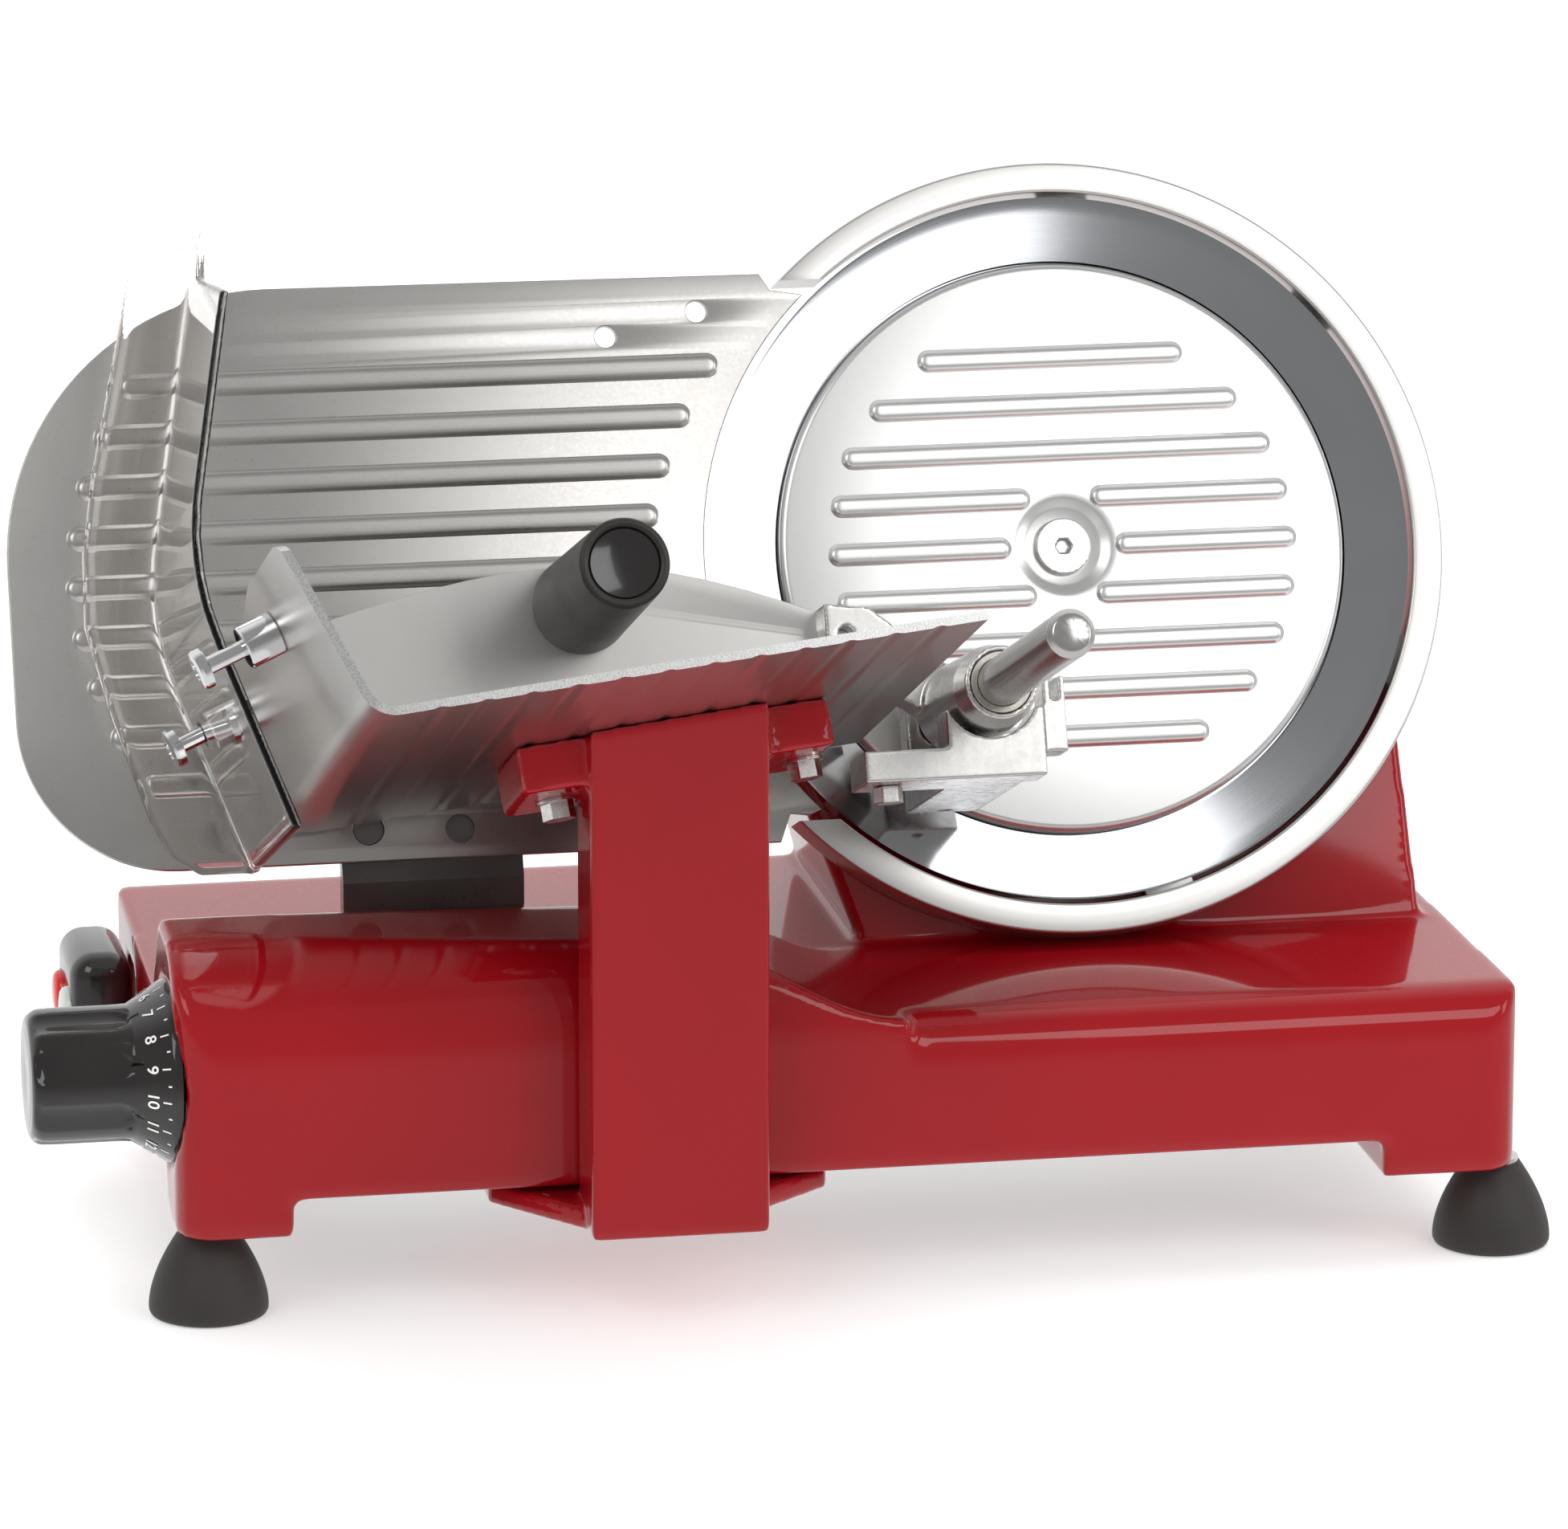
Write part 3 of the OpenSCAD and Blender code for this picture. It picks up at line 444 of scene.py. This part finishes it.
def screw_wall(bm):
    """Backs the thin wall beside the front right foot's screw, which the voxels would tear open."""
    x, radius = 231.2, 2.6
    for y in (17.5, 21, 24.5):
        bead(bm, [(x, y, z) for z in (32.5, 42, 51)], radius)


cast("body_casting", 1.5, 14, extra=screw_wall)
cast("carriage_arm", 1.1, 16)

# ---------------------------------------------------------------- blade, cover and ring

cover = lathe("blade_cover_disc",
              [(4, -3), (13, -3), (15.2, -1.4), (91, -1.4), (100, -4.5), (101.2, -4.4),
               (101.5, -4.0), (101.5, -1.8)] + arc(98.6, -1.9, 2.9, 2, 88, 8)
              + [(60, 1.0), (20, 1.0), (18, 0.95), (16.6, 0.6), (14.4, -0.5), (13.2, -0.95), (4, -1.0),
                 (4, -3)], BLADE, "cover", "machine", 192, 40)
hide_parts("blade_cover")
# Ribs of the cover: left end, right end and the distance from the middle line
RIB_W, RIB_H, COVER_FACE = 7.3, 1.5, 1
bm = bmesh.new()
for side in (-1, 1):
    for left, right, off in [(-77, 77, 34), (-66, 66, 50.6), (-47.5, 47.5, 67.6), (11, 82, 17.2),
                             (-82, -11, 17.2)]:
        mound(bm, left, right, side * off, RIB_W, RIB_H, COVER_FACE)
for left, right in [(19, 84), (-84, -19)]:
    mound(bm, left, right, 0, RIB_W, RIB_H, COVER_FACE)
put(bm, "blade_cover_ribs", BLADE, "cover", "machine", 60)

blade = lathe("blade_ground", [(20, -9.5), (108, -9.5), (124.4, -0.9), (125, 0), (124.2, -0.15),
                               (119, -0.75), (112, -1.55), (106, -2.2), (102.5, -2.6), (102.3, -6),
                               (20, -6), (20, -9.5)], BLADE, "blade_steel", "blade", 256, 12)
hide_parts("blade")

# The ring is open at the left: its ends are cut level, above and below the gauge plate
RING_TOP, RING_LOW, RING_BACK = 98.5, 93.0, -16.0
profile = ([(126.7, RING_BACK), (137.3, RING_BACK)] + arc(136.3, 0.5, 1.0, 0, 90, 5)
           + arc(127.7, 0.5, 1.0, 90, 180, 5))
bm = bmesh.new()
rows = []
RING_STEPS = 220
for k in range(RING_STEPS + 1):
    row = []
    for r, z in profile:
        last_angle = 180 - math.degrees(math.asin(RING_TOP / r))
        first_angle = -180 + math.degrees(math.asin(RING_LOW / r))
        q = math.radians(first_angle + (last_angle - first_angle) * k / RING_STEPS)
        row.append(bm.verts.new((r * MM * math.cos(q), r * MM * math.sin(q), z * MM)))
    rows.append(row)
for low, high in zip(rows, rows[1:]):
    for k in range(len(profile)):
        j = (k + 1) % len(profile)
        bm.faces.new((low[k], low[j], high[j], high[k]))
bm.faces.new(rows[0])
bm.faces.new(rows[-1])
ring = put(bm, "ring_turned", BLADE, "ring", "machine", 35)
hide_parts("ring_guard")
# Lugs behind the ring, which carry it on the housing
LUG_THICK = 3.5
for q in (-75, -20, 40, 85):
    lug = BLADE @ Matrix.Rotation(math.radians(q), 4, "Z")
    put(flat_plate([(100, -9), (128, -9), (128, 9), (100, 9)], [], RING_BACK, RING_BACK + LUG_THICK, 0.4),
        "ring_lug", lug, "ring", "machine", 35)
cast("cover_bolt", 0.3, 3, BLADE, "steel")

# ---------------------------------------------------------------- gauge plate

GAUGE_BACK, GAUGE_FRONT, GAUGE_ARC = -6.5, -3.0, 127.6
outline = (arc(-277, 8, 95, 180, 90, 24) + [(-101.6, 101.9), (-98, 96)]
           + arc(0, 0, GAUGE_ARC, 132.6, 224, 64) + [(-96, -90.5), (-103, -89.5), (-107, -99.5)]
           + arc(-318, -45.5, 54, 270, 180, 20))
holes = [arc(x, y, r, 0, 348.75, 31) for x, y, r in
         [(-157.7, 81.5, 3.8), (-124.9, 89.3, 3.8), (-252, -88.4, 5.5), (-220, -89.5, 5.5)]]
plate = put(flat_plate(outline, holes, GAUGE_BACK, GAUGE_FRONT, 0.4), "gauge_pressed", BLADE, "plate",
            "gauge", 35)
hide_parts("gauge_plate")
# Nine ribs, whose ends follow the plate's rounded left side and the ring's curve
GAUGE_RIB_PITCH, GAUGE_RIB_W, GAUGE_RIB_H = 17.5, 8.0, 1.1
bm = bmesh.new()
for i in range(-4, 5):
    left = -352 + 1.4 * i * i
    right = -137 - 8 * math.cos(math.radians(24 * i)) + 1.1 * i * i
    mound(bm, left, right, GAUGE_RIB_PITCH * i, GAUGE_RIB_W, GAUGE_RIB_H, GAUGE_FRONT)
put(bm, "gauge_ribs", BLADE, "plate", "gauge", 60)
cast("gauge_screws", 0.35, 3, BLADE, "dark_bracket")
refine("gauge_carrier", BASE, 0.8, "dark_bracket")

# ---------------------------------------------------------------- tray

LEAN_DEGREES = 17
LEAN = math.radians(LEAN_DEGREES)
SHEET, BEND, FLOOR, DEEP = 3.0, 12.0, 203.0, 245.0
# Shallow grooves along the underside of the floor
GROOVES, GROOVE_FIRST, GROOVE_PITCH, GROOVE_HALF, GROOVE_DEPTH = 12, 22, 15, 3.2, 0.55
# The front edge leans back up the wall, and so the wall's top is shorter than the floor
RAKE, RAKE_FROM, RAKE_OVER, TOP_SHARE = 11, 3, 57, 0.955
centre = (BEND * (1 - math.sin(LEAN)) / math.cos(LEAN), BEND)


def wall_top(y):
    """Height of the wall's top edge at a distance from the rear: up, nearly level, then rounded off."""
    if y <= 150:
        return 44 + 20 * y / 150
    if y <= 222:
        return 64 - 0.5 * (y - 150) / 72
    return 63.5 - 3.5 * ((y - 222) / 12) ** 2


def section(top, side):
    """The folded sheet's line from the wall's top to the floor's right edge; side 1 is the underside."""
    inset = 0 if side else SHEET
    r = BEND - inset
    line = []
    foot = centre[1] + r * math.sin(math.pi + LEAN)
    for k in range(17):
        h = top + (foot - top) * k / 16
        along = (h - foot) / math.cos(LEAN)
        x = centre[0] + r * math.cos(math.pi + LEAN) - along * math.sin(LEAN)
        line.append((x, h))
    line += arc(centre[0], centre[1], r, 180 + LEAN_DEGREES, 270, 10)[1:]
    count = 240
    for k in range(1, count + 1):
        x = centre[0] + (FLOOR - centre[0]) * k / count
        z = inset
        if side:
            for g in range(GROOVES):
                d = abs(x - (GROOVE_FIRST + g * GROOVE_PITCH))
                if d < GROOVE_HALF:
                    z += GROOVE_DEPTH * (0.5 + 0.5 * math.cos(math.pi * d / GROOVE_HALF))
        line.append((x, z))
    return line


bm = bmesh.new()
stations = 48
skins = []
for side in (1, 0):
    grid = []
    for k in range(stations + 1):
        t = k / stations
        row = []
        for x, h in section(wall_top(DEEP * t * TOP_SHARE), side):
            edge = DEEP - RAKE * min(1, max(0, (h - RAKE_FROM) / RAKE_OVER))
            row.append(bm.verts.new((x * MM, -t * edge * MM, h * MM)))
        grid.append(row)
    skins.append(grid)
last = len(skins[0][0]) - 1
for grid in skins:
    for a, b in zip(grid, grid[1:]):
        for k in range(last):
            bm.faces.new((a[k], a[k + 1], b[k + 1], b[k]))
for k in range(stations):
    for c in (0, last):
        bm.faces.new((skins[0][k][c], skins[0][k + 1][c], skins[1][k + 1][c], skins[1][k][c]))
for row in (0, stations):
    for k in range(last):
        bm.faces.new((skins[0][row][k], skins[0][row][k + 1], skins[1][row][k + 1], skins[1][row][k]))
tray = put(bm, "tray_sheet", TRAY, "aluminium", "carriage", 35)
# The last strip of faces is the front edge, which is milled bright
tray.data.materials.append(M["milled"])
for face in list(tray.data.polygons)[-last:]:
    face.material_index = 1
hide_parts("tray")
refine("carriage_bolts", TRAY, 0.35)

# ---------------------------------------------------------------- rod, bracket and pusher

refine("pusher_rod", ROD, 0.4, "steel")
cast("rod_bracket", 0.6, 4, BLADE, back=0.2)
refine("bracket_bolt", BLADE, 0.35)
cast("pusher_arm", 0.6, 5, BLADE, back=0.15)
refine("pusher_bush", ROD, 0.3)
refine("pusher_plate", BLADE, 0.9, segments=3)

HANDLE = BLADE @ Matrix.Translation((-181 * MM, -20.5 * MM, 48 * MM))
grip = lathe("pusher_grip", [(0, 0), (3, 0), (3, 4), (16.4, 4), (17.0, 4.4), (17.2, 5.2), (17.1, 8),
                             (15.5, 97)]
             + arc(13.9, 100.4, 1.5, 0, 80, 6) + [(13.0, 101.9), (12.3, 101.4), (12.05, 100.4),
                                                  (12.0, 99.0), (0, 99.0)],
             HANDLE, "handle_black", "pusher", 128, 40)
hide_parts("pusher_handle")
cap = lathe("grip_cap", [(0, 99.0), (11.9, 99.0), (11.9, 100.8), (11.5, 101.1), (9, 100.7),
                         (5, 100.3), (0, 100.2)], HANDLE, "black_plastic", "pusher", 96, 40)
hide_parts("handle_cap")

# ---------------------------------------------------------------- hand guard

GUARD_SHEET, GUARD_BEAD = 3, 1.8
RIDGE = [(-297, -104), (-319, -42), (-322.5, -30), (-324.5, -18), (-325, -6), (-324, 6), (-303, 118)]
OUTER = [(-303, 118), (-321, 115), (-325, 108), (-335, 68), (-343, 37), (-348.5, 8), (-349, -18),
         (-341, -49), (-329, -86), (-323, -98), (-314, -104), (-297, -104)]


def towards(path, inset, n):
    """A flat path as 3D points, moved in from the guard's rim."""
    middle = (-325, 0)
    out = []
    for x, y in path:
        d = Vector((middle[0] - x, middle[1] - y))
        d = d.normalized() * inset if d.length else d
        out.append((x + d.x, y + d.y, n))
    return out


def on_ridge(b):
    """Where the upright leg's sheet stands at a height b."""
    for (x0, y0), (x1, y1) in zip(RIDGE, RIDGE[1:]):
        if b <= y1:
            return x0 + (x1 - x0) * (b - y0) / (y1 - y0) + GUARD_SHEET / 2
    return RIDGE[-1][0] + GUARD_SHEET / 2


def guard_beads(bm):
    """Moulded beads along the guard's fold, its outer rim and the upright leg's free edge."""
    bead(bm, [(x + 2.0, y, 20.2) for x, y in RIDGE], 2.3)
    bead(bm, towards(OUTER, 1.9, 20.0), GUARD_BEAD)
    bead(bm, [(on_ridge(b), b, 148) for b in range(-101, 75, 8)]
         + [(on_ridge(97), 97, 50), (on_ridge(114), 114, 32)], GUARD_BEAD)
    bead(bm, [(on_ridge(-101.6), -101.6, n) for n in range(22, 150, 6)], GUARD_BEAD)


cast("hand_guard", 0.8, 8, BLADE, "clear_guard", extra=guard_beads)

WALL = Matrix.Rotation(-LEAN, 4, "Y")
for number, (back, up) in enumerate([(-38, 41), (-160, 48)]):
    spot = (TRAY @ WALL @ Matrix.Translation((0, back * MM, up * MM))
            @ Matrix.Rotation(math.pi / 2, 4, "Y"))
    spacer = lathe("guard_spacer_turned", [(3.05, -12.45), (6.9, -12.45), (7.5, -11.9), (7.5, -0.6),
                                          (6.9, -0.05), (3.05, -0.05), (3.05, -12.45)], spot, "chrome",
                   "carriage", 64, 35)
    screw = lathe("guard_screw_turned", [(0, -0.05), (3, -0.05), (3, -26), (6.6, -26), (7, -26.4),
                                        (7, -28.6), (6.4, -29.6), (4.6, -30), (3.4, -30), (3.1, -28),
                                        (0, -28)], spot, "chrome", "carriage", 64, 30)
    if number == 0:
        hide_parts("guard_spacers")
        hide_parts("guard_screws")

# ---------------------------------------------------------------- dial

FLUTES, FLUTE_DEPTH, FLUTE_HALF, FLUTE_END, FLUTE_ROUND = 8, 1.7, 5.6, 28.5, 6.5


def grip_flute(r, z, t):
    """Depth of the grip's broad flutes, which fade in at the front and end round at the skirt."""
    if not (20 < r < 24 and z < 36):
        return 0.0
    pitch = 2 * math.pi / FLUTES
    across = ((t / pitch) % 1 - 0.5) * r * pitch
    half = FLUTE_HALF * math.sqrt(max(0, 1 - (max(0, z - FLUTE_END) / FLUTE_ROUND) ** 2))
    fade = min(1, max(0, (z - 1.0) / 2))
    return FLUTE_DEPTH * fade * max(0, 1 - (across / max(half, 0.001)) ** 2)


knob_profile = ([(0, 0.6), (6, 0.25), (12, 0), (17, 0.1)] + arc(18.4, 5.2, 5.0, 262, 350, 10)
                + [(23.5, 8)] + [(23.5, z) for z in range(12, 36)]
                + [(23.9, 35.6), (25.2, 37.8), (27, 41), (31.1, 47.0), (31.5, 47.8), (31.5, 50.2),
                   (31.1, 50.5), (12, 50.5), (12, 44), (0, 44)])
knob = lathe("dial_grip", knob_profile, DIAL, "black_plastic", "dial", 240, 35,
             grip_flute)
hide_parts("dial_knob")

# The scale is printed on the skirt: numerals read round the dial, ticks stand next to the wall
CONE_LOW, CONE_HIGH = (25.2, 37.8), (31.1, 47.0)
SCALE_STEP, SCALE_TOP, LAST_READING = 22.5, 5.75, 15
PRINT_LIFT, NUMERAL_SIZE, NUMERAL_Z = 0.05, 6.0, 40.4
TICK_END, TICK_LONG, TICK_SHORT, TICK_WIDTH, TICK_THICK = 46.6, 3.2, 1.3, 0.55, 0.08
cone = math.atan2(CONE_HIGH[0] - CONE_LOW[0], CONE_HIGH[1] - CONE_LOW[1])


def on_cone(reading, z):
    """Frame on the skirt: x runs round the dial, y up the cone towards the grip, z outwards."""
    t = math.radians(180 + (reading - SCALE_TOP) * SCALE_STEP)
    r = CONE_LOW[0] + (z - CONE_LOW[1]) * math.tan(cone)
    outward = Vector((math.cos(t) * math.cos(cone), math.sin(t) * math.cos(cone), -math.sin(cone)))
    slope = Vector((-math.cos(t) * math.sin(cone), -math.sin(t) * math.sin(cone), -math.cos(cone)))
    around = slope.cross(outward)
    p = Vector((r * math.cos(t), r * math.sin(t), z)) * MM + outward * PRINT_LIFT * MM
    return Matrix((
        (around.x, slope.x, outward.x, p.x), (around.y, slope.y, outward.y, p.y),
        (around.z, slope.z, outward.z, p.z), (0, 0, 0, 1)))


def numeral(text, reading):
    """A number's mesh, laid on the skirt at its reading."""
    cu = bpy.data.curves.new("numeral", "FONT")
    cu.body = text
    cu.size = NUMERAL_SIZE * MM
    cu.align_x = "CENTER"
    cu.align_y = "CENTER"
    cu.extrude = 0.04 * MM
    cu.offset = 0.07 * MM
    ob = bpy.data.objects.new("numeral_tmp", cu)
    scene.collection.objects.link(ob)
    bpy.context.view_layer.update()
    me = bpy.data.meshes.new_from_object(ob.evaluated_get(bpy.context.evaluated_depsgraph_get()))
    bpy.data.objects.remove(ob)
    me.transform(on_cone(reading, NUMERAL_Z) @ Matrix.Rotation(math.pi, 4, "Z"))
    return me


bm = bmesh.new()
for value in range(LAST_READING + 1):
    me = numeral(str(value), value)
    bm.from_mesh(me)
    bpy.data.meshes.remove(me)
for half in range(2 * LAST_READING + 1):
    length = TICK_LONG if half % 2 == 0 else TICK_SHORT
    place = on_cone(half / 2, TICK_END - length / 2)
    cube = bmesh.ops.create_cube(bm, size=1.0)["verts"]
    bmesh.ops.scale(bm, vec=(TICK_WIDTH * MM, length * MM, TICK_THICK * MM), verts=cube)
    bmesh.ops.transform(bm, matrix=place, verts=cube)
put(bm, "dial_scale", DIAL, "print", "dial", 35)

# ---------------------------------------------------------------- feet, switch, buttons

FEET = {"foot_front_left": (-222, 23), "foot_front_right": (229, 21),
        "foot_rear_left": (-174, 216), "foot_rear_right": (174, 216)}
bell = [(9.5 + 11 * (1 - (k / 14) ** 1.7), 3 + 26.8 * k / 14) for k in range(1, 15)]
foot_profile = ([(0, 0.9), (12, 0.9), (14, 0), (18.6, 0), (19.8, 0.5), (20.4, 1.6), (20.5, 3.0)]
                + bell + [(9.2, 29.95), (8.6, 30), (4, 30), (4, 18), (0, 18)])
for node, (x, y) in FEET.items():
    spot = BASE @ Matrix.Translation((x * MM, y * MM, 0))
    foot = lathe(node + "_bell", foot_profile, spot, "rubber", "machine", 96, 40)
    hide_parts(node)

SWITCH_X, SWITCH_Y, SWITCH_Z = -254, 173, 70
SWITCH_SIZE, SWITCH_ROUND = (22.0, 49.6, 43.6), 8.5
BUTTON_Y = {"start_button": 162, "stop_button": 184}


def rounded_box(bm, size, centre_at, radius):
    """A box in mm whose edges are all round."""
    made = bmesh.ops.create_cube(bm, size=1.0)["verts"]
    bmesh.ops.scale(bm, vec=[s * MM for s in size], verts=made)
    bmesh.ops.translate(bm, vec=[c * MM for c in centre_at], verts=made)
    edges = list({e for v in made for e in v.link_edges})
    bmesh.ops.bevel(bm, geom=edges, offset=radius * MM, segments=8, profile=0.5, affect="EDGES",
                    clamp_overlap=True)


bm = bmesh.new()
rounded_box(bm, SWITCH_SIZE, (SWITCH_X + 11.2, SWITCH_Y, SWITCH_Z), SWITCH_ROUND)
housing = put(bm, "switch_moulded", BASE, "black_plastic", "machine", 40)
# Known fault: these bores are blind and end where the buttons' stems end at rest, so a pressed stem
# runs 2.5 mm into their floor, out of sight. The CAD's housing has a hole for the stem there.
for y in BUTTON_Y.values():
    bore = lathe("bore", [(0, -8), (8.3, -8), (8.3, 12), (0, 12), (0, -8)],
                 BASE @ Matrix.Translation((SWITCH_X * MM, y * MM, SWITCH_Z * MM))
                 @ Matrix.Rotation(math.pi / 2, 4, "Y"), "black_plastic", "machine", 64)
    cut = housing.modifiers.new("bore", "BOOLEAN")
    cut.operation = "DIFFERENCE"
    cut.object = bore
    cut.solver = "EXACT"
    settle(housing)
    bpy.data.objects.remove(bore)
housing.data.set_sharp_from_angle(angle=math.radians(35))
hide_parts("switch_housing")
for name, y in BUTTON_Y.items():
    place = (BASE @ Matrix.Translation(((SWITCH_X - 3) * MM, y * MM, SWITCH_Z * MM))
             @ Matrix.Rotation(math.pi / 2, 4, "Y"))
    colour = "red_button" if name == "stop_button" else "white_button"
    button = lathe(name + "_moulded", [(0, 0), (4, 0.08), (6.2, 0.5), (7.5, 1.4), (8, 2.8), (8, 11),
                                       (2, 11), (2, 14.9), (0, 15)], place, colour, name, 64, 40)
    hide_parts(name)
refine("cable_gland", BASE, 0.6)
refine("bottom_plate", BASE, 0.3, "zinc")

# ---------------------------------------------------------------- pieces that stay as the CAD made them

for node, ob in frame["nodes"].items():
    ob.data.materials.clear()
    ob.data.materials.append(M[slot_of_node[node]])
    ob.data.shade_smooth()
    ob.data.set_sharp_from_angle(angle=math.radians(30))

# ---------------------------------------------------------------- floor, light and camera


def plain(name, colour, rough, glow):
    """One even colour that also glows a little."""
    m, nodes, links, shader, coords = graph(name)
    shader.inputs["Base Color"].default_value = (*colour, 1)
    shader.inputs["Roughness"].default_value = rough
    shader.inputs["Emission Color"].default_value = (1, 1, 1, 1)
    shader.inputs["Emission Strength"].default_value = glow
    return m


bm = bmesh.new()
bmesh.ops.create_grid(bm, x_segments=1, y_segments=1, size=30)
me = bpy.data.meshes.new("floor")
bm.to_mesh(me)
bm.free()
floor = bpy.data.objects.new("floor", me)
scene.collection.objects.link(floor)
floor.location.z = -0.2 * MM
me.materials.append(plain("floor", (0.88, 0.88, 0.88), 0.7, 0.42))
floor.visible_glossy = False


def softbox(name, place, target, size, power, tall=None, mirrored=True):
    """An area light aimed at a point; mirrored says whether metal may reflect it."""
    data = bpy.data.lights.new(name, "AREA")
    data.shape = "RECTANGLE"
    data.size = size
    data.size_y = tall or size
    data.energy = power
    ob = bpy.data.objects.new(name, data)
    scene.collection.objects.link(ob)
    ob.location = place
    ob.rotation_euler = (Vector(target) - Vector(place)).to_track_quat("-Z", "Y").to_euler()
    ob.visible_glossy = mirrored


middle = (0, 0, 0.18)
softbox("key", (-1.6, -1.8, 2.0), middle, 1.3, 12)
softbox("front", (1.05, -2.02, 1.60), (0.1, 0, 0.25), 1.05, 9)
softbox("fill", (2.4, -1.4, 1.0), middle, 0.7, 9, 1.6)
softbox("top", (0.2, 0.5, 2.4), middle, 1.8, 22, mirrored=False)
softbox("back", (-0.6, 2.4, 1.4), middle, 1.4, 8, mirrored=False)

world = bpy.data.worlds.new("studio")
scene.world = world
world.use_nodes = True
sky = world.node_tree
path = sky.nodes.new("ShaderNodeLightPath")
direction = sky.nodes.new("ShaderNodeTexCoord")
axes = sky.nodes.new("ShaderNodeSeparateXYZ")
sky.links.new(direction.outputs["Generated"], axes.inputs[0])


def glow(axis, start, end, low, high):
    """Brightness of the studio's walls as a reflection sees them, by direction."""
    r = sky.nodes.new("ShaderNodeMapRange")
    r.inputs["From Min"].default_value = start
    r.inputs["From Max"].default_value = end
    r.inputs["To Min"].default_value = low
    r.inputs["To Max"].default_value = high
    sky.links.new(axes.outputs[axis], r.inputs["Value"])
    return r.outputs["Result"]


# Reflections see bright walls behind and below, and a darker room in front
walls = sky.nodes.new("ShaderNodeMath")
walls.operation = "MAXIMUM"
sky.links.new(glow("Y", -0.1, 0.4, 0.33, 0.95), walls.inputs[0])
sky.links.new(glow("Z", -0.05, -0.5, 0.33, 0.85), walls.inputs[1])
shade = sky.nodes.new("ShaderNodeMixRGB")
shade.inputs["Color1"].default_value = (0.92, 0.92, 0.92, 1)
sky.links.new(walls.outputs[0], shade.inputs["Color2"])
sky.links.new(path.outputs["Is Glossy Ray"], shade.inputs["Fac"])
# Matt surfaces are lit by a slightly dimmer room than the camera sees
dim = sky.nodes.new("ShaderNodeMixRGB")
dim.blend_type = "MULTIPLY"
dim.inputs["Color2"].default_value = (0.80, 0.80, 0.80, 1)
sky.links.new(shade.outputs["Color"], dim.inputs["Color1"])
sky.links.new(path.outputs["Is Diffuse Ray"], dim.inputs["Fac"])
sky.links.new(dim.outputs["Color"], sky.nodes["Background"].inputs["Color"])
sky.nodes["Background"].inputs["Strength"].default_value = 1.0

data = bpy.data.cameras.new("camera")
data.sensor_width = 36
data.sensor_fit = "HORIZONTAL"
data.lens = 210.14
data.clip_end = 50
camera = bpy.data.objects.new("camera", data)
scene.collection.objects.link(camera)
camera.location = (-0.5560, -2.9970, 0.9637)
camera.rotation_euler = (math.radians(75.5), 0, math.radians(-10.5))
scene.camera = camera
scene.view_settings.view_transform = "Standard"
